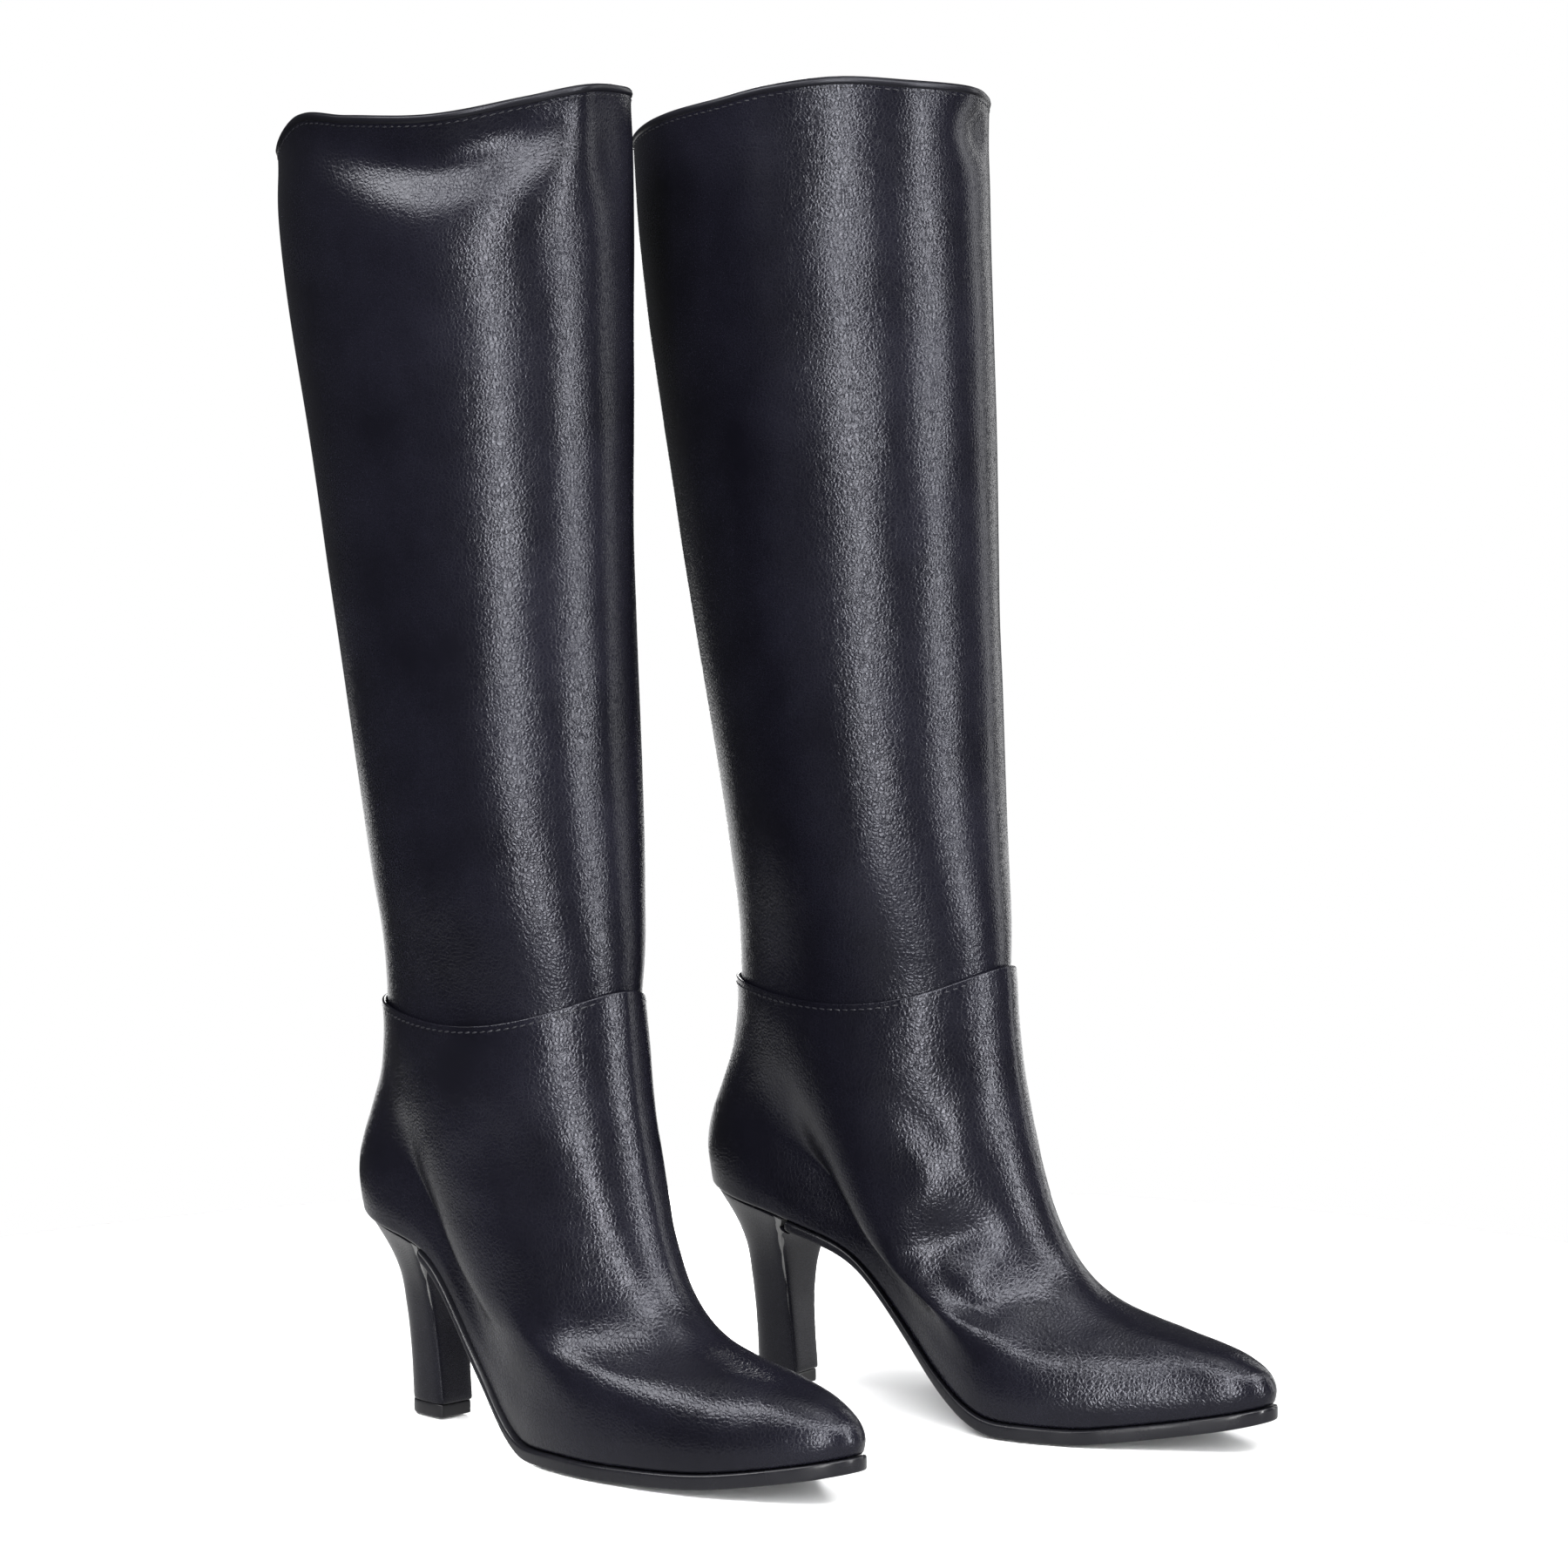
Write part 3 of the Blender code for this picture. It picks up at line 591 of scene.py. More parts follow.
hidden_finishes = {
    "stiffener_board": fibre,
    "cork_filler": cork,
    "heel_plastic": plastic,
    "spring_steel": steel,
    "lining_leather": lining_leather,
    "upper_leather": heel_leather,
    "sole_rubber": lift_rubber,
}
node_slots = {part["node"]: part["material_slot"] for part in frame["record"]["subparts"]}
print("finishes for", len(set(node_slots.values())), "kinds of material")

# %% [markdown]
# ## How the leather lies
# Leather doesn't keep the last's smooth form. The shaft has a soft ridge down its front, where it
# lay folded flat in its box, and it gives a little between the hands of the maker. Each boot also
# has its own dents: the right one has sunk in below its top edge, and the left one is pinched at
# its front corner. All of it is one amount by which the skin stands out or in, read by the turn
# round the leg and the height, so that the outer leather, its binding and its lining can share it
# and never touch. The top edge has also settled a few millimetres up or down, by an amount that
# is listed by turn.

# %% Folds of the shaft
LEG_RADIUS, LEG_FLATNESS = 55, 0.85


def swell(at, centre, width):
    """1 at the centre, fading over the width on each side."""
    return np.exp(-(((at - centre) / width) ** 2))


def turn_from(turn, centre):
    """Signed angle from centre to turn, between -pi and pi."""
    return (turn - centre + math.pi) % (2 * math.pi) - math.pi


def unevenness(turn, z, reach, seed):
    """A slow noise over the leg, from about -1 to 1, in lumps of about this many millimetres."""
    round_leg, up_leg = LEG_RADIUS / reach, 2.2 * reach
    lumps = [
        noise.noise(Vector((math.cos(a) * round_leg, math.sin(a) * round_leg, h / up_leg + seed)))
        for a, h in zip(turn.ravel(), z.ravel())
    ]
    return np.array(lumps).reshape(turn.shape)


def shaft_folds(turn, z, side):
    """How far the shaft's skin stands out, in millimetres, at turns from the front inwards."""
    front = np.abs(turn_from(turn, 0.0))
    rising = smooth(150, 215, z)
    edge = top_height(turn)
    under = edge - z
    out = 1.9 * (np.exp(-np.sqrt(front**2 + 0.012) / 0.34) - 0.12) * rising
    out += 0.55 * unevenness(turn, z, 42.0, 3.0 if side == "right" else 11.0) * rising
    out += 0.25 * unevenness(turn, z, 15.0, 7.0) * rising
    if side == "right":
        outer = turn_from(turn, -0.98)
        belly = 4.0 + 12.0 * swell(outer, 0.0, 0.85)
        out -= 6.6 * swell(outer, 0.0, 1.10) * swell(under, belly, 12.5)
        out += 1.6 * swell(outer, 0.0, 0.8) * swell(under, belly + 30.0, 16.0)
        pinch = turn_from(turn, 0.22)
        out -= 2.4 * swell(pinch, 0.0, 0.22) * swell(under, 22.0, 16.0)
        out += 1.6 * swell(turn_from(turn, -0.04), 0.0, 0.16) * swell(under, 0.0, 12.0)
        inner_front = swell(turn_from(turn, 0.77), 0.0, 0.5)
        outer_back = swell(turn_from(turn, -2.37), 0.0, 0.5)
        out += (2.6 * outer_back + 3.0 * inner_front) * smooth(330, 455, z)
        out += 1.3 * inner_front * (1 - smooth(230, 330, z)) * smooth(140, 185, z)
    else:
        pinch = turn_from(turn, 0.0)
        out -= 3.4 * swell(pinch, -0.10, 0.22) * swell(under, 15.0, 10.0)
        out += 1.2 * swell(pinch, 0.0, 0.25) * swell(under, 0.0, 7.0)
        out -= 0.8 * swell(turn_from(turn, 0.9), 0.0, 0.8) * swell(under, 16.0, 12.0)
    out += 0.9 * swell(turn_from(turn, math.pi), 0.0, 0.35) * swell(under, 0.0, 14.0)
    return out


# How much each boot's top edge has settled: the turns in degrees, then the rise in millimetres.
TOP_SETTLES = {
    "right": (
        (-180, -136, -115, -90, -60, -25, 0, 30, 60, 90, 135, 180),
        (-3, -4, 2.8, -0.8, -3.6, -0.5, 1.3, -2.0, -6.6, -8.4, -7.0, -3),
    ),
    "left": (
        (-180, -90, -30, 0, 30, 55, 75, 95, 115, 136, 180),
        (-3, 0, 1, 2.4, 1.2, 0.4, -2.6, -6.0, -6.6, -6, -3),
    ),
}


def top_settle(turn, side):
    at, rise = TOP_SETTLES[side]
    return through(at, rise, np.degrees(turn_from(turn, 0.0)))


def shaft_skin(heights, turns, inside=0.0):
    """Points of the shaft at these heights, held inside the outer skin by some millimetres."""
    at, centre, length, width = SHAFT_SECTIONS.T
    heights = np.asarray(heights, float)
    x = through(at, centre, heights) + (through(at, length, heights) - inside) * np.cos(turns)
    y = (through(at, width, heights) - inside) * np.sin(turns)
    return np.stack([x, y, heights + 0 * x], axis=-1)


def points_of(piece):
    """The piece's points, as rows of metres."""
    spots = np.empty(len(piece.data.vertices) * 3)
    piece.data.vertices.foreach_get("co", spots)
    return spots.reshape(-1, 3)


def move_points(piece, spots):
    piece.data.vertices.foreach_set("co", spots.ravel())
    piece.data.update()


def off_bench(spots):
    """Blender's metres back to the boot's own x, y and z in millimetres."""
    return -spots[:, 1] * 1000, spots[:, 0] * 1000, spots[:, 2] * 1000


def lay_shaft(piece, side):
    """Moves a shaft piece's points out or in by the folds, straight away from the leg's middle."""
    spots = points_of(piece)
    x, y, z = off_bench(spots)
    at, centre, length, width = SHAFT_SECTIONS.T
    forward = (x - through(at, centre, z)) / through(at, length, z)
    sideways = y / through(at, width, z)
    turn = np.arctan2(sideways, forward) % (2 * math.pi)
    out = shaft_folds(turn, z, side)
    away = np.stack([np.sin(turn) / LEG_FLATNESS, -np.cos(turn), 0 * turn], axis=-1)
    away /= np.linalg.norm(away, axis=-1, keepdims=True)
    spots += away * out[:, None] * MM
    spots[:, 2] += top_settle(turn, side) * smooth(360, 474, z) * MM
    move_points(piece, spots)


ridge = shaft_folds(np.array([0.0]), np.array([300.0]), "right")
print("front ridge stands", round(float(ridge[0]), 2), "mm out")

# %% [markdown]
# ## The shaft leather
# The outside of the shaft is one tall skin from just inside the ankle seam to the top edge. Its
# rings are pulled up the leg, subdivided once for a fine even surface, folded, and given the
# thickness of the hide. It stands for the design's inner and outer panels, which meet in a closed
# back seam.

# %% Shaft leather of both boots
ROUND = 120
turns = np.linspace(0, 2 * math.pi, ROUND, endpoint=False)


def up_the_leg(shares, turns, top_drop=0.0):
    """Heights of rings between the tucked-in skirt and the top edge."""
    low, high = seam_height(turns) - SEAM_TUCK, top_height(turns) - top_drop
    return low + (high - low) * np.asarray(shares, float)[:, None]


def mark_seam(piece):
    """Stores how far each point is from the back seam, in millimetres, for the finish to read."""
    spots = points_of(piece)
    behind = spots[:, 1] > np.interp(spots[:, 2], (0.09, 0.16, 0.49), (0.02, -0.03, 0.0))
    away = np.where(behind, np.abs(spots[:, 0]) * 1000, 50.0)
    layer = piece.data.attributes.new("seam_away", "FLOAT", "POINT")
    layer.data.foreach_set("value", away.astype(np.float32))


shaft_rings = shaft_skin(up_the_leg(np.linspace(0, 1, 64), turns), turns)
shaft = pair_of(pull_rings("shaft_leather", shaft_rings))
for side, piece in shaft.items():
    finer(piece)
    lay_shaft(piece, side)
    mark_seam(piece)
    thicken(piece, LEATHER)
    shade(piece, 50)
    set_down(piece, side)
    panels = ("shaft_lateral_panel", "shaft_medial_panel")
    belongs(piece, side, "ankle", shaft_leather, panels)
    print(piece.name, faces_of(piece), "faces")

# %% [markdown]
# ## The bound top edge
# The cut edge of leather and lining is hidden in a narrow rolled binding, so the piece is a long
# thin tube round the top: each extruded ring is one whole trip round the leg, a step further
# round the tube, and the last ring is bridged to the first.

# %% Top binding of both boots
BINDING_RADIUS, BINDING_INSIDE, BINDING_STEPS = 1.75, 1.15, 12


def binding_rings(turns):
    rings = []
    for step in range(BINDING_STEPS):
        angle = 2 * math.pi * step / BINDING_STEPS
        inside = BINDING_INSIDE - BINDING_RADIUS * math.cos(angle)
        drop = BINDING_RADIUS * (0.75 - math.sin(angle))
        rings.append(shaft_skin(top_height(turns)[None] - drop, turns, inside)[0])
    return np.array(rings)


fine_turns = np.linspace(0, 2 * math.pi, 240, endpoint=False)
binding = pair_of(pull_rings("top_binding", binding_rings(fine_turns), join=True))
for side, piece in binding.items():
    lay_shaft(piece, side)
    shade(piece, 80)
    set_down(piece, side)
    belongs(piece, side, "shaft", edge_leather)
    print(piece.name, faces_of(piece), "faces")

# %% [markdown]
# ## Inside the shaft
# The lining is a thinner skin of the same form, held just inside the leather. Its top fifty
# millimetres are a separate facing, a little stronger, whose lower edge is stitched down. Both
# follow the same folds, so the inside shows them too.

# %% Shaft lining and facing of both boots
LINING_INSIDE = LEATHER + 0.2
coarse_turns = turns[::2]
lining_heights = up_the_leg(np.linspace(0, 1, 34), coarse_turns, top_drop=44.0)
facing_heights = top_height(turns) - np.linspace(50.0, 0.6, 12)[:, None]
lining = pair_of(
    pull_rings("shaft_lining", shaft_skin(lining_heights, coarse_turns, LINING_INSIDE))
)
facing = pair_of(pull_rings("top_facing", shaft_skin(facing_heights, turns, LINING_INSIDE)))
for side, piece in lining.items():
    finer(piece)
    lay_shaft(piece, side)
    thicken(piece, LINING)
    shade(piece, 50)
    set_down(piece, side)
    belongs(piece, side, "ankle", lining_leather, ("shaft_lining",))
    print(piece.name, faces_of(piece), "faces")
for side, piece in facing.items():
    finer(piece)
    lay_shaft(piece, side)
    thicken(piece, LINING + 0.45)
    round_edges(piece, 0.3)
    shade(piece, 50)
    set_down(piece, side)
    belongs(piece, side, "shaft", sock_leather, ("top_facing",))

# %% [markdown]
# ## The foot leather
# The foot is one hide, wet-moulded over the last: tight and smooth at the toe and heel, round at
# the ankle, and turned in under the board at its lower edge. Its upper edge laps over the shaft.
# The rings start at the turned-in margin, go round the feather edge, and climb to the ankle seam,
# where they crowd together for a crisp edge.

# %% Foot skin


def foot_skin(levels, turns):
    """Points of the foot's outside. levels is one number per ring, or one per ring and turn."""
    levels = np.asarray(levels, float)
    levels = levels[:, None] if levels.ndim == 1 else levels
    rows = np.arange(len(FOOT_LEVELS))
    front_x, front_z, back_x, back_z, width, round_share = (
        through(rows, column, levels) for column in FOOT_LEVELS.T
    )
    forward = (1 + np.cos(turns)) / 2
    inner = np.sin(turns) >= 0
    sign = np.sign(np.sin(turns))
    feather_x = LAST_BACK + (LAST_TIP - LAST_BACK) * forward
    feather_w = outline(feather_x, inner)
    feather_z = sole_top(feather_x, feather_w * sign) + FEATHER_RISE
    first, last = FOOT_LEVELS[0], FOOT_LEVELS[-1]
    front_rise = (front_z - first[1]) / (last[1] - first[1])
    back_rise = (back_z - first[3]) / (last[3] - first[3])
    rise = back_rise + (front_rise - back_rise) * forward
    ankle_w = ANKLE_HALF_WIDTH * np.abs(np.sin(turns))
    x = back_x + (front_x - back_x) * forward
    y = (feather_w * width * (1 - round_share) + ankle_w * round_share) * sign
    z = feather_z + (seam_height(turns) - feather_z) * rise
    return np.stack([x + 0 * z, y + 0 * z, z], axis=-1)


def turned_in(turns, depth):
    """The leather's lower edge, pulled in under the board by this many millimetres."""
    feather = foot_skin([0.0], turns)
    x = feather[..., 0] - depth * ((feather[..., 0] - LAST_MIDDLE) / LAST_HALF) ** 5
    y = np.sign(feather[..., 1]) * np.clip(np.abs(feather[..., 1]) - depth * 0.85, 0.0, None)
    return np.stack([x, y, sole_top(x, y) + FEATHER_RISE], axis=-1)


def below_seam(turns, drop):
    """The level at each turn that lies this far below the ankle seam's edge."""
    levels = np.linspace(9.0, 12.0, 61)
    heights = foot_skin(levels, turns)[..., 2]
    wanted = seam_height(turns) - drop
    return np.array([np.interp(w, heights[:, i], levels) for i, w in enumerate(wanted)])


def segment_swell(spots, start, end, width):
    """1 along the line from start to end, fading over the width to its sides and ends."""
    start, end = np.asarray(start, float), np.asarray(end, float)
    along = end - start
    t = np.clip(((spots - start) @ along) / (along @ along), 0.0, 1.0)
    gap = np.linalg.norm(spots - (start + t[:, None] * along), axis=-1)
    taper = 0.35 + 0.65 * np.sin(math.pi * np.clip(0.15 + 0.7 * t, 0, 1))
    return taper * np.exp(-((gap / width) ** 2))


# Folds of each foot: start and end on the last, width, and how far it stands out, in millimetres.
FOOT_FOLDS = {
    "right": (
        ((112, -30, 42), (84, -34, 58), 11.0, -0.8),
        ((118, -14, 62), (92, -24, 110), 9.0, 0.9),
        ((96, -26, 60), (60, -34, 110), 12.0, -0.8),
        ((140, -20, 44), (120, -30, 48), 12.0, 0.7),
        ((88, 26, 138), (100, 22, 96), 16.0, 1.2),
    ),
    "left": (
        ((70, 28, 62), (94, 24, 72), 7.0, -2.0),
        ((58, 30, 76), (84, 25, 90), 8.5, 1.9),
        ((84, 30, 50), (104, 28, 60), 7.0, 1.9),
        ((80, 30, 52), (98, 30, 42), 6.5, -1.7),
        ((74, 30, 96), (92, 22, 112), 8.0, 1.0),
        ((84, 27, 92), (70, 32, 112), 6.5, -0.9),
        ((100, 30, 44), (124, 24, 46), 9.0, 1.1),
        ((112, 27, 36), (132, 27, 34), 8.0, -0.9),
        ((158, 0, 44), (188, 0, 38), 15.0, -1.1),
    ),
}


def lay_foot(piece, side):
    """Moves a foot piece along its normals: folds, the instep ridge and a slow unevenness."""
    spots = points_of(piece)
    normals = np.empty(spots.size)
    piece.data.vertex_normals.foreach_get("vector", normals)
    normals = normals.reshape(-1, 3)
    x, y, z = off_bench(spots)
    boot = np.stack([x, y, z], axis=-1)
    above = smooth(4, 24, z - sole_top(x, y))
    out = 0.0 * x
    for start, end, width, amount in FOOT_FOLDS[side]:
        out += amount * segment_swell(boot, start, end, width)
    front = smooth(30, 60, x) * smooth(48, 80, z)
    out += 1.5 * front * np.exp(-np.sqrt(y**2 + 2.0) / 8.0)
    seed = 3.0 if side == "right" else 19.0
    slow = np.array([noise.noise(Vector(s / 30.0) + Vector((seed, 0, 0))) for s in boot])
    quick = np.array([noise.noise(Vector(s / 11.0) + Vector((0, seed, 0))) for s in boot])
    out += 0.55 * slow + 0.16 * quick
    spots += normals * (out * above)[:, None] * MM
    move_points(piece, spots)


LOWER_RINGS, MIDDLE_RINGS = np.linspace(0, 2, 8), np.linspace(2.3, 11.2, 34)
EDGE_RINGS = (11.5, 11.75, 11.92, 12.0)
upward = foot_skin(np.concatenate([LOWER_RINGS, MIDDLE_RINGS, EDGE_RINGS]), turns)
skin = np.concatenate([turned_in(turns, 8.0), turned_in(turns, 3.0), upward])
foot = pair_of(pull_rings("foot_leather", skin))
for side, piece in foot.items():
    finer(piece)
    lay_foot(piece, side)
    mark_seam(piece)
    thicken(piece, LEATHER)
    round_edges(piece, 0.60, sharper_than=60, steps=3)
    shade(piece, 50)
    set_down(piece, side)
    belongs(piece, side, "ankle", foot_leather, ("foot_upper",))
    print(piece.name, faces_of(piece), "faces")

# %% [markdown]
# ## Inside the foot
# The foot's lining is one smooth skin from the board to just under the shaft's lining. A padded
# sock covers the board, with a rounded edge. Seen from above through the shaft, these are the
# pale floor and walls of the boot.

# %% Foot lining and sock of both boots
LINING_DEPTH = LEATHER + 1.9
top_levels = below_seam(coarse_turns, SEAM_TUCK + 0.6)
lining_levels = 0.9 + (top_levels - 0.9) * np.linspace(0, 1, 26)[:, None]
foot_lining = pull_rings("foot_lining", foot_skin(lining_levels, coarse_turns))
work_on(foot_lining)
bpy.ops.object.mode_set(mode="EDIT")
bpy.ops.mesh.select_all(action="SELECT")
bpy.ops.transform.shrink_fatten(value=-LINING_DEPTH * MM)
bpy.ops.object.mode_set(mode="OBJECT")
foot_lining = pair_of(foot_lining)
for side, piece in foot_lining.items():
    finer(piece)
    thicken(piece, LINING)
    shade(piece, 50)
    set_down(piece, side)
    belongs(piece, side, "ankle", lining_leather, ("foot_lining",))


def closed_outline(grow, back, sides=56, across=9):
    """The last's outline as one ring: the inner side from the tip, the cut back, the outer side."""
    half = LAST_HALF + grow
    end = math.acos((back - LAST_MIDDLE) / half)
    angle = np.linspace(0.0, end, sides)
    x = LAST_MIDDLE + half * np.cos(angle)
    inner, outer = outline(x, True, grow), outline(x, False, grow)
    between = np.linspace(1, -1, across + 2)[1:-1]
    cut = np.where(between > 0, inner[-1], outer[-1]) * between
    xs = np.concatenate([x, np.full(across, back), x[:0:-1]])
    ys = np.concatenate([inner, cut, -outer[:0:-1]])
    return xs, ys


def layered(outline_of, stack):
    """Rings through a stack of (inset, height rule) rows, its ends drawn together on a line."""
    rings, lines = [], []
    for depth, height in stack:
        x, y = outline_of(depth)
        rings.append(np.stack([x, y, height(x, y)], axis=-1))
        lines.append(np.stack([x, 0 * y, height(x, 0 * y)], axis=-1))
    return np.array([lines[0], *rings, lines[-1]])


# The sock lies on the turned-in leather, the board and the filler over the sole.
SOCK_LOW = 1.5 * LEATHER + 2.2 + 3.1


def sock_outline(depth):
    return closed_outline(-5.4 - depth, LAST_BACK + 6.3 + depth, sides=60, across=3)


def over_sole(rise):
    return lambda x, y: sole_top(x, y) + rise


sock_stack = (
    (12, over_sole(SOCK_LOW)),
    (0.5, over_sole(SOCK_LOW)),
    (0.0, over_sole(SOCK_LOW + 0.6)),
    (0.4, over_sole(SOCK_LOW + 1.2)),
    (1.3, over_sole(SOCK_LOW + 1.6)),
    (7.0, over_sole(SOCK_LOW + 1.9)),
    (14.0, over_sole(SOCK_LOW + 2.0)),
)
sock = pair_of(pull_rings("sock_liner", layered(sock_outline, sock_stack), pinch=True))
stand_pair(sock, "foot", sock_leather, "sock_liner", sharper_than=50)

# %% [markdown]
# ## The sole
# The sole is one thin moulded unit: flat on the floor at the ball, lifted at the toe, and drawn
# thin through the arch up to the heel. Its edge is trimmed, rounded and glossed, and stands a
# little proud of the leather. Rings of the last's outline make it: from a line down its middle,
# out along the underside, round the edge and back in over the top. A shallow groove runs round
# the tread.

# %% Outsole of both boots
SOLE_PROUD, SOLE_BACK = 1.3, 7.7


def sole_outline(depth):
    return closed_outline(SOLE_PROUD - depth, SOLE_BACK + min(depth, 2.0) * 0.5)


def off_floor(rise):
    return lambda x, y: tread(x, y) + rise


sole_stack = (
    (17.0, off_floor(0.0)),
    (11.0, off_floor(0.0)),
    (5.8, off_floor(0.0)),
    (5.5, off_floor(0.55)),
    (4.6, off_floor(0.55)),
    (4.3, off_floor(0.0)),
    (1.2, off_floor(0.0)),
    (0.45, off_floor(0.12)),
    (0.08, off_floor(0.5)),
    (0.0, off_floor(0.95)),
    (0.0, over_sole(-0.35)),
    (0.1, over_sole(0.25)),
    (0.5, over_sole(0.70)),
    (1.1, over_sole(0.90)),
    (3.0, over_sole(LIP_RISE)),
    (12.0, over_sole(LIP_RISE)),
)
outsole = pair_of(pull_rings("outsole", layered(sole_outline, sole_stack), pinch=True))
stand_pair(outsole, "foot", sole_rubber, "outsole", sharper_than=40)
for piece in outsole.values():
    piece.data.materials.append(tread_rubber)
    for face in piece.data.polygons:
        if face.normal.z < -0.75:
            face.material_index = 1

# %% [markdown]
# ## The covered heel
# A moulded core is wrapped in thin smooth leather, glued tight, with its two edges under a strip
# that runs down the front and turns forward under the sole in a soft hollow curve. Below it a
# small rubber top lift takes the wear. The wrap is rings of the heel's section; the strip is a
# thin flat tube bent along its own path.

# %% Heel cover of both boots
HEEL_ROUND_STEPS, HEEL_FRONT_STEPS = 44, 9


def heel_section(share, inset=0.0):
    """The heel's closed section: its rounded back from corner to corner, then its flat front."""
    stations = HEEL_SECTIONS[:, 0]
    back, front, half, power = (float(through(stations, c, share)) for c in HEEL_SECTIONS.T[1:])
    turn = np.linspace(0.0, math.pi, HEEL_ROUND_STEPS)
    x = front - inset - (front - back - 2 * inset) * np.sin(turn) ** power
    y = (half - inset) * np.cos(turn)
    flat = np.linspace(-(half - inset), half - inset, HEEL_FRONT_STEPS + 2)[1:-1]
    return np.concatenate([x, np.full(flat.size, front - inset)]), np.concatenate([y, flat])


seat_x, seat_y = heel_section(1.0)
seat_height = sole_top(seat_x, seat_y) + LIP_RISE
HEEL_LOW = LIFT_HEIGHT + 0.15
heel_rings = []
lower_edge = [(0.0, 1.0), (0.0, 0.25), (0.004, 0.0)]
for share, inset in lower_edge + [(s, 0.0) for s in np.linspace(0.03, 0.985, 34)]:
    x, y = heel_section(share, inset)
    heel_rings.append(np.stack([x, y, HEEL_LOW + (seat_height - HEEL_LOW) * share], axis=-1))
x, y = heel_section(1.0, 0.6)
heel_rings.append(np.stack([x, y, seat_height], axis=-1))
heel_rings.append(np.stack([x, 0 * y, seat_height], axis=-1))
x, y = heel_section(0.0, 1.0)
heel_rings.insert(0, np.stack([x, 0 * y, HEEL_LOW + 0 * x], axis=-1))
heel = pair_of(pull_rings("heel_cover", np.array(heel_rings), pinch=True))
stand_pair(heel, "foot", heel_leather, "heel_cover", sharper_than=45)

# %% Breast strip that turns forward under the sole
STRIP_THICK, CURVE_REACH = 1.0, 6.5
path = []
for share in np.linspace(0.0, 0.945, 26):
    x, y = heel_section(share)
    height = HEEL_LOW + (float(sole_top(x[0], 0.0)) - HEEL_LOW) * share
    path.append((x[0] + 0.05, height, abs(y[0]) - 0.35))
corner_x, corner_z, corner_half = path[-1]
start = np.array([corner_x, corner_z])
end = np.array([corner_x + CURVE_REACH, float(tread(corner_x + CURVE_REACH, 0.0)) - 0.15])
corner = np.array([corner_x + 1.6, start[1] + 0.7 * (end[1] - start[1])])
for t in np.linspace(0.1, 1.0, 14):
    spot = (1 - t) ** 2 * start + 2 * t * (1 - t) * corner + t * t * end
    wide = float(outline(spot[0], True, SOLE_PROUD)) - 0.9
    path.append((spot[0], spot[1], corner_half + (wide - corner_half) * t))
path = np.array(path)
along = np.gradient(path[:, :2], axis=0)
along /= np.linalg.norm(along, axis=1, keepdims=True)
strip_rings = []
across = np.linspace(-1, 1, 11)
for (x, z, half), (dx, dz) in zip(path, along):
    front_edge = np.array([x, z]) + STRIP_THICK * np.array([dz, -dx])
    drop = 0.35 * np.abs(across) ** 6
    face = [
        (front_edge[0] - fall * dz, a * half, front_edge[1] + fall * dx)
        for a, fall in zip(across, drop)
    ]
    rear = [(x, a * half, z) for a in across[::-1]]
    strip_rings.append(face + rear)
strip_rings = np.array(strip_rings)
pinched = [strip_rings[0].copy(), strip_rings[-1].copy()]
for ring in pinched:
    ring[len(across) :] = ring[len(across) - 1 :: -1]
strip_rings = np.concatenate([pinched[:1], strip_rings, pinched[1:]])
strip = pair_of(pull_rings("heel_breast_strip", strip_rings, pinch=True))
stand_pair(strip, "foot", heel_leather, "heel_breast_cover", sharper_than=50)

# %% Top lift of both boots


def lift_outline(depth):
    return heel_section(0.0, depth)


def level(z):
    return lambda x, y: z + 0 * x


lift_stack = (
    (3.0, level(0.0)),
    (1.9, level(0.0)),
    (1.7, level(0.3)),
    (1.4, level(0.3)),
    (1.2, level(0.0)),
    (0.5, level(0.0)),
    (0.12, level(0.2)),
    (0.0, level(0.6)),
    (0.0, level(4.4)),
    (0.15, level(4.8)),
    (0.5, level(4.98)),
    (2.0, level(LIFT_HEIGHT)),
)
lift = pair_of(pull_rings("top_lift", layered(lift_outline, lift_stack), pinch=True))
stand_pair(lift, "foot", lift_rubber, "top_lift", sharper_than=40)

# %% [markdown]
# ## Stitching
# Two rows show: one holds the foot's edge to the shaft, just under the edge, and one runs below
# the top binding. One stitch is a short bead of thread, a low sphere drawn out along its length.
# It is copied along each row, every copy turned to lie on the leather, and the row is joined to
# one piece. The upper row is then settled with the folds, and the lower row rides where the foot
# is smooth.

# %% One stitch, and rows of it
STITCH_LENGTH, STITCH_PITCH = 2.5, 3.3
STITCH_TILT = math.radians(7.0)


def one_stitch(name, thickness):
    deselect()
    bpy.ops.mesh.primitive_uv_sphere_add(segments=8, ring_count=6, radius=0.5 * MM)
    stitch = bpy.context.object
    stitch.name = stitch.data.name = name
    bpy.ops.object.mode_set(mode="EDIT")
    bpy.ops.mesh.select_all(action="SELECT")
    bpy.ops.transform.resize(value=(STITCH_LENGTH, thickness, thickness * 0.8))
    bpy.ops.object.mode_set(mode="OBJECT")
    bpy.ops.object.shade_smooth()
    return stitch


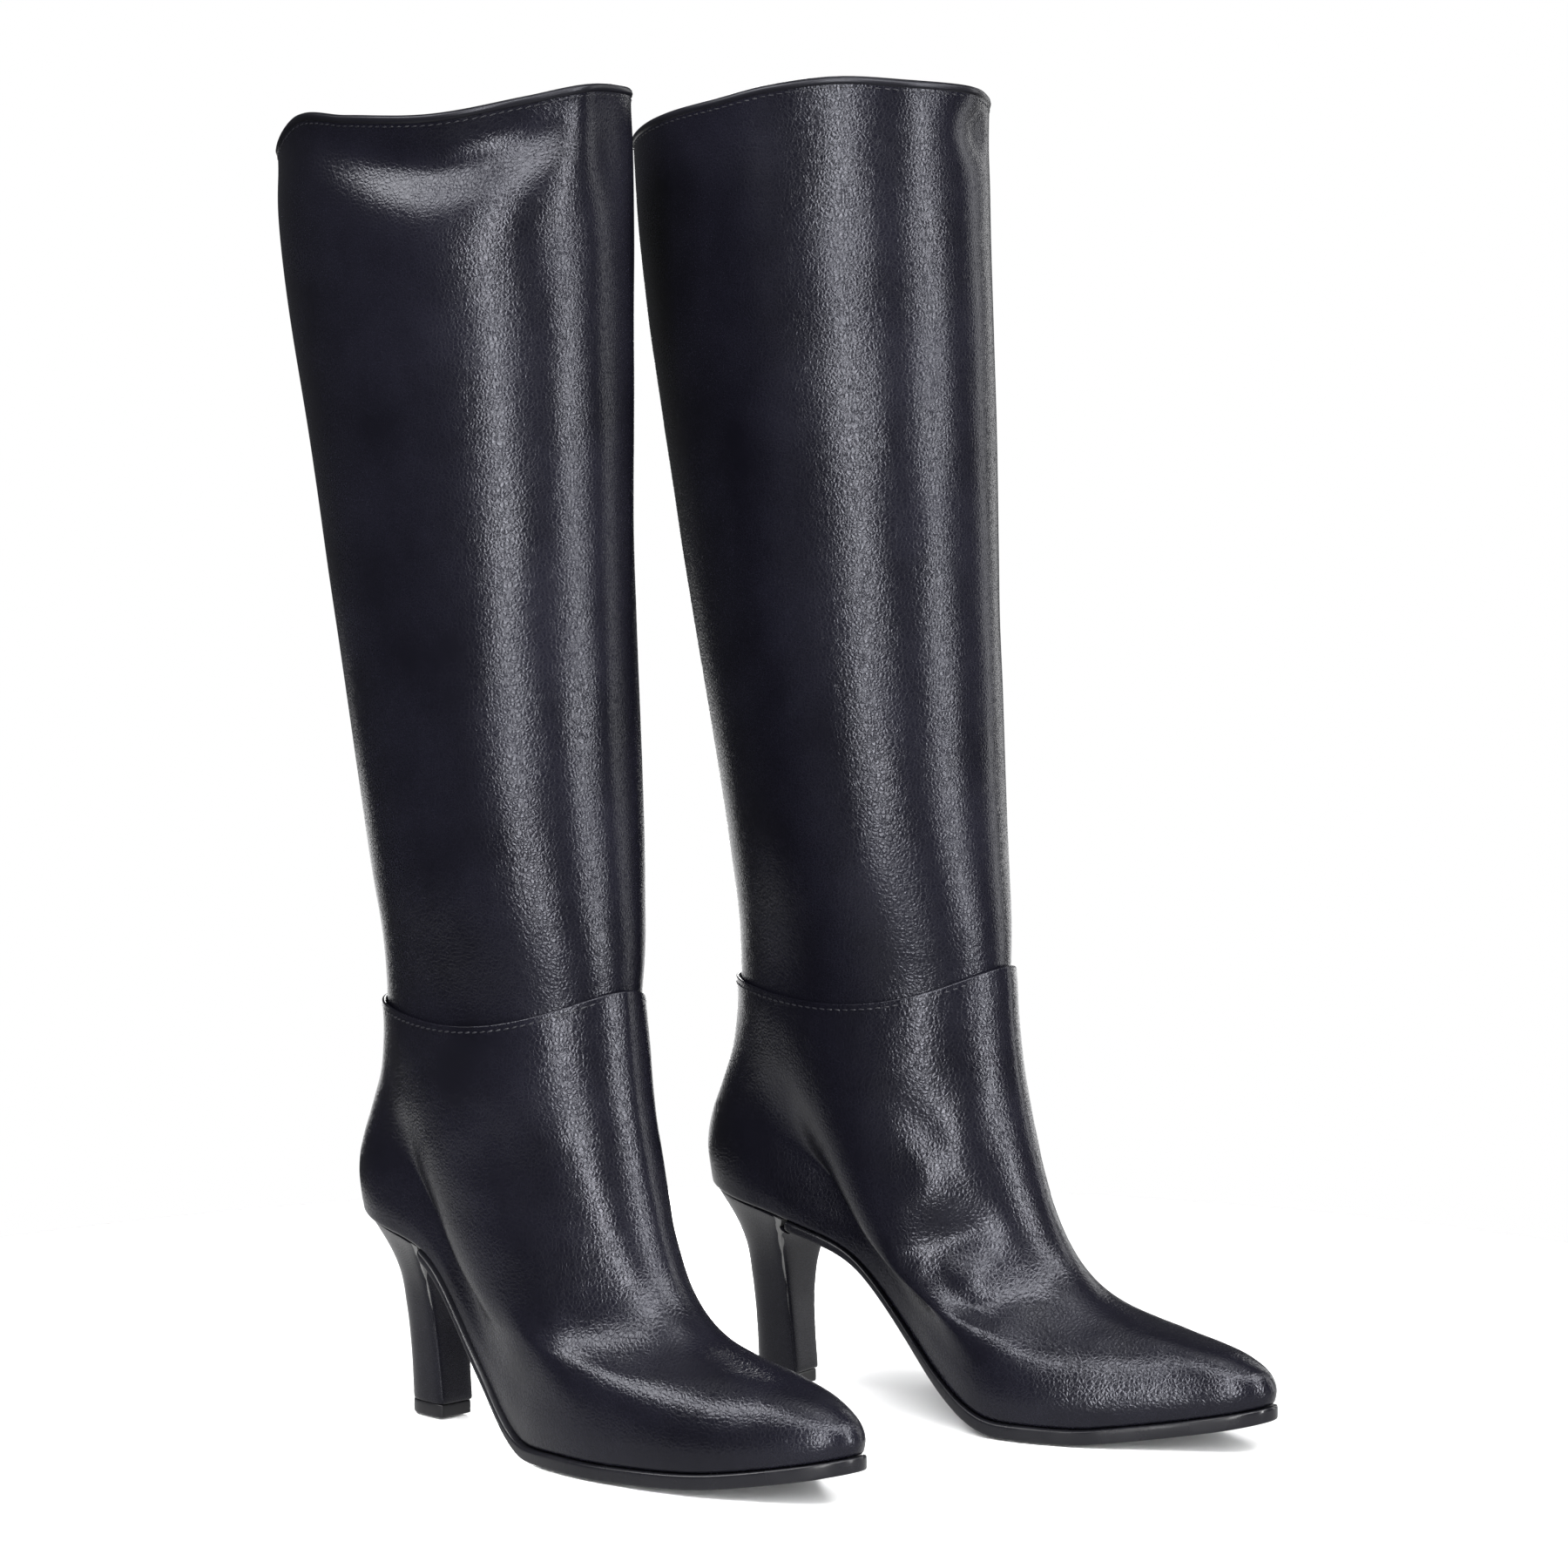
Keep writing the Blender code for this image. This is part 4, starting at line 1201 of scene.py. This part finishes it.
def row_of_stitches(name, line, away, thickness):
    """Stitches along a closed line of bench points, in metres, each lying flat on its surface."""
    stitch = one_stitch(name, thickness)
    gaps = np.linalg.norm(np.diff(np.vstack([line, line[:1]]), axis=0), axis=1)
    length = gaps.sum()
    count = int(round(length / (STITCH_PITCH * MM)))
    marks = np.concatenate([[0.0], np.cumsum(gaps)])
    ring, outward = np.vstack([line, line[:1]]), np.vstack([away, away[:1]])
    copies = []
    for number in range(count):
        at = length * number / count
        here = np.array([np.interp(at, marks, ring[:, i]) for i in range(3)])
        soon = (at + 0.4 * MM) % length
        ahead = np.array([np.interp(soon, marks, ring[:, i]) for i in range(3)])
        up = Vector([np.interp(at, marks, outward[:, i]) for i in range(3)]).normalized()
        forward = Vector(ahead - here)
        forward = (forward - forward.dot(up) * up).normalized()
        side_way = up.cross(forward)
        tilt = Matrix.Rotation(STITCH_TILT, 3, up)
        turned = tilt @ Matrix((forward, side_way, up)).transposed()
        copy = stitch.copy()
        copy.data = stitch.data.copy()
        copy.matrix_world = Matrix.Translation(Vector(here)) @ turned.to_4x4()
        bpy.context.scene.collection.objects.link(copy)
        copies.append(copy)
    deselect()
    for copy in copies:
        copy.select_set(True)
    bpy.context.view_layer.objects.active = copies[0]
    bpy.ops.object.join()
    row = bpy.context.object
    bpy.ops.object.transform_apply(location=True, rotation=True, scale=True)
    bpy.data.objects.remove(stitch)
    row.name = row.data.name = name
    return row, count


def surface_frame(skin_of, middle, below, above):
    """Bench points and outward directions on a skin, from three rings of it."""
    here, low, high = (on_bench(skin_of(ring)) for ring in (middle, below, above))
    around = np.roll(here, -1, axis=0) - np.roll(here, 1, axis=0)
    away = np.cross(around, high - low)
    return here, away / np.linalg.norm(away, axis=1, keepdims=True)


# %% Stitch rows at the ankle and under the binding
ANKLE_STITCH_DROP, TOP_STITCH_DROP = 2.2, 3.6


def foot_ring(drop):
    return foot_skin(below_seam(fine_turns, drop)[None], fine_turns)[0]


def shaft_ring(drop):
    return shaft_skin(top_height(fine_turns) - drop, fine_turns)


for name, ring_at, drop, part, thickness in (
    ("ankle_stitches", foot_ring, ANKLE_STITCH_DROP, "ankle", 0.62),
    ("top_stitches", shaft_ring, TOP_STITCH_DROP, "shaft", 0.50),
):
    line, away = surface_frame(ring_at, drop, drop + 1, drop - 1)
    row, count = row_of_stitches(name, line + away * 0.05 * MM, away, thickness)
    for side, piece in pair_of(row).items():
        if part == "shaft":
            lay_shaft(piece, side)
        set_down(piece, side)
        belongs(piece, side, part, black_thread)
    print(name, count, "stitches on each boot")

# %% [markdown]
# ## The hidden parts
# The board, filler, shank, stiffeners, heel core, pin and screw keep their designed shapes. Each
# gets the finish of its kind, so that a cut-away or an exploded view still shows real materials.

# %% Finishes for the designed parts
for name, solid in frame["nodes"].items():
    finish = hidden_finishes[node_slots[name]]
    if not solid.data.materials:
        solid.data.materials.append(finish)
    for index in range(len(solid.material_slots)):
        solid.material_slots[index].material = finish
print(sum(not solid.hide_render for solid in frame["nodes"].values()), "designed parts still show")

# %% [markdown]
# ## Floor, light and camera
# Black leather shows only what it reflects, so the light is what shapes it. Two tall narrow soft
# boxes give each shaft its long upright gleams, and wide ones high up light the toes and the
# hollow under the top edge. A few weak ones behind give form to the back, and a wide one low down
# behind lights the floor there. The floor and the room are white to the eye, but in the leather's
# reflections the floor is a plain even white and the room is dim, as in a studio with black flags
# beside the lens. A Light Path node picks between the two for each ray.

# %% Floor
deselect()
bpy.ops.mesh.primitive_circle_add(
    vertices=128, radius=0.50, fill_type="NGON", location=(0, 0, -0.6 * MM)
)
floor = bpy.context.object
floor.name = "studio_floor"
bpy.ops.object.transform_apply(location=True, rotation=False, scale=False)
floor_paint, floor_tree, floor_shader = new_finish(
    "white_floor", (0.93, 0.93, 0.935), 0.22, Specular_IOR_Level=0.15
)
floor_place = millimetres(floor_tree)
raised(floor_tree, floor_shader, noise_of(floor_tree, floor_place, 6.0).outputs["Fac"], 0.01)
in_gloss = node(floor_tree, "Emission", Color=(1.0, 1.0, 1.0, 1.0), Strength=1.0)


def by_ray(tree, ray, otherwise, chosen, result):
    """Shows one shader to this kind of ray and the other to every other kind."""
    path_kind = node(tree, "LightPath")
    choice = node(tree, "MixShader")
    tree.links.new(path_kind.outputs[ray], choice.inputs[0])
    tree.links.new(otherwise.outputs[0], choice.inputs[1])
    tree.links.new(chosen.outputs[0], choice.inputs[2])
    tree.links.new(choice.outputs[0], tree.nodes[result].inputs["Surface"])


by_ray(floor_tree, "Is Glossy Ray", floor_shader, in_gloss, "Material Output")
floor.data.materials.append(floor_paint)
floor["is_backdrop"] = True

# %% Camera
EYE, AIM_AZIMUTH, AIM_DOWN = (-1.3407, -1.3059, 0.4197), -46.0, 5.638
lens = bpy.data.cameras.new("studio_camera")
lens.lens, lens.sensor_width = 120.0, 36.0
lens.dof.use_dof = False
camera = bpy.data.objects.new("studio_camera", lens)
camera.location = EYE
camera.rotation_euler = (math.radians(90.0 - AIM_DOWN), 0.0, math.radians(AIM_AZIMUTH))
bpy.context.scene.collection.objects.link(camera)
bpy.context.scene.camera = camera

# %% Lights
CENTRE = Vector((0.0, 0.0, 0.24))
SIGHT = Vector((math.sin(math.radians(-AIM_AZIMUTH)), math.cos(math.radians(-AIM_AZIMUTH)), 0.0))
RIGHT_HAND = Vector((SIGHT.y, -SIGHT.x, 0.0))
OVER_BACK = CENTRE + SIGHT * 1.35 + Vector((0, 0, 2))


def soft_box(name, bearing, distance, height, size, power, aim):
    """An area light at a bearing round the boots, in degrees to the right of the lens."""
    angle = math.radians(bearing)
    spot = CENTRE - SIGHT * distance * math.cos(angle) + RIGHT_HAND * distance * math.sin(angle)
    spot.z = height
    panel = bpy.data.lights.new(name, "AREA")
    panel.shape = "RECTANGLE"
    panel.size, panel.size_y = size
    panel.energy = power
    box = bpy.data.objects.new(name, panel)
    box.location = spot
    box.rotation_euler = (aim - spot).to_track_quat("-Z", "Y").to_euler()
    box.visible_camera = False
    bpy.context.scene.collection.objects.link(box)


# Each soft box: its bearing, distance, height, width and height of its face, watts, and aim.
SOFT_BOXES = {
    "left_strip": (-12, 1.9, 0.55, (0.20, 1.5), 52, CENTRE),
    "right_strip": (49, 1.7, 0.55, (0.15, 1.5), 38, CENTRE),
    "rim_panel": (112, 1.6, 0.50, (0.5, 1.4), 9, CENTRE),
    "high_front": (0, 1.35, 1.65, (1.5, 0.50), 54, CENTRE),
    "back_strip": (-177, 1.9, 0.55, (0.25, 1.4), 12, CENTRE),
    "back_right": (146, 1.8, 0.60, (0.3, 1.4), 4, CENTRE),
    "back_floor_glow": (180, 1.35, 0.02, (1.5, 1.3), 12, OVER_BACK),
    "high_left": (-70, 1.35, 1.60, (1.3, 0.5), 40, CENTRE),
    "high_right": (62, 1.35, 1.60, (1.1, 0.5), 30, CENTRE),
    "overhead": (20, 0.35, 1.75, (0.4, 0.4), 4, CENTRE),
}
for name, settings in SOFT_BOXES.items():
    soft_box(name, *settings)
sky_light = bpy.data.lights.new("ceiling_glow", "SUN")
sky_light.energy, sky_light.angle = 0.6, math.radians(40)
sky = bpy.data.objects.new("ceiling_glow", sky_light)
bpy.context.scene.collection.objects.link(sky)
print(len(SOFT_BOXES), "soft boxes and a ceiling glow")

# %% Background
room = bpy.data.worlds.new("studio_room")
bpy.context.scene.world = room
room.use_nodes = True
air = room.node_tree
ambient = air.nodes["Background"]
ambient.inputs["Color"].default_value = (0.95, 0.97, 1.0, 1.0)
ambient.inputs["Strength"].default_value = 0.07
seen = node(air, "Background", Color=(1.0, 1.0, 1.0, 1.0))
by_ray(air, "Is Camera Ray", ambient, seen, "World Output")
bpy.context.scene.view_settings.view_transform = "Standard"

# %% Check the size, then finish
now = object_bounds()
for label, (low, high) in (("design", CAD_BOX), ("visual", now)):
    print(label, [round((b - a) * 1000, 1) for a, b in zip(low, high)], "mm")
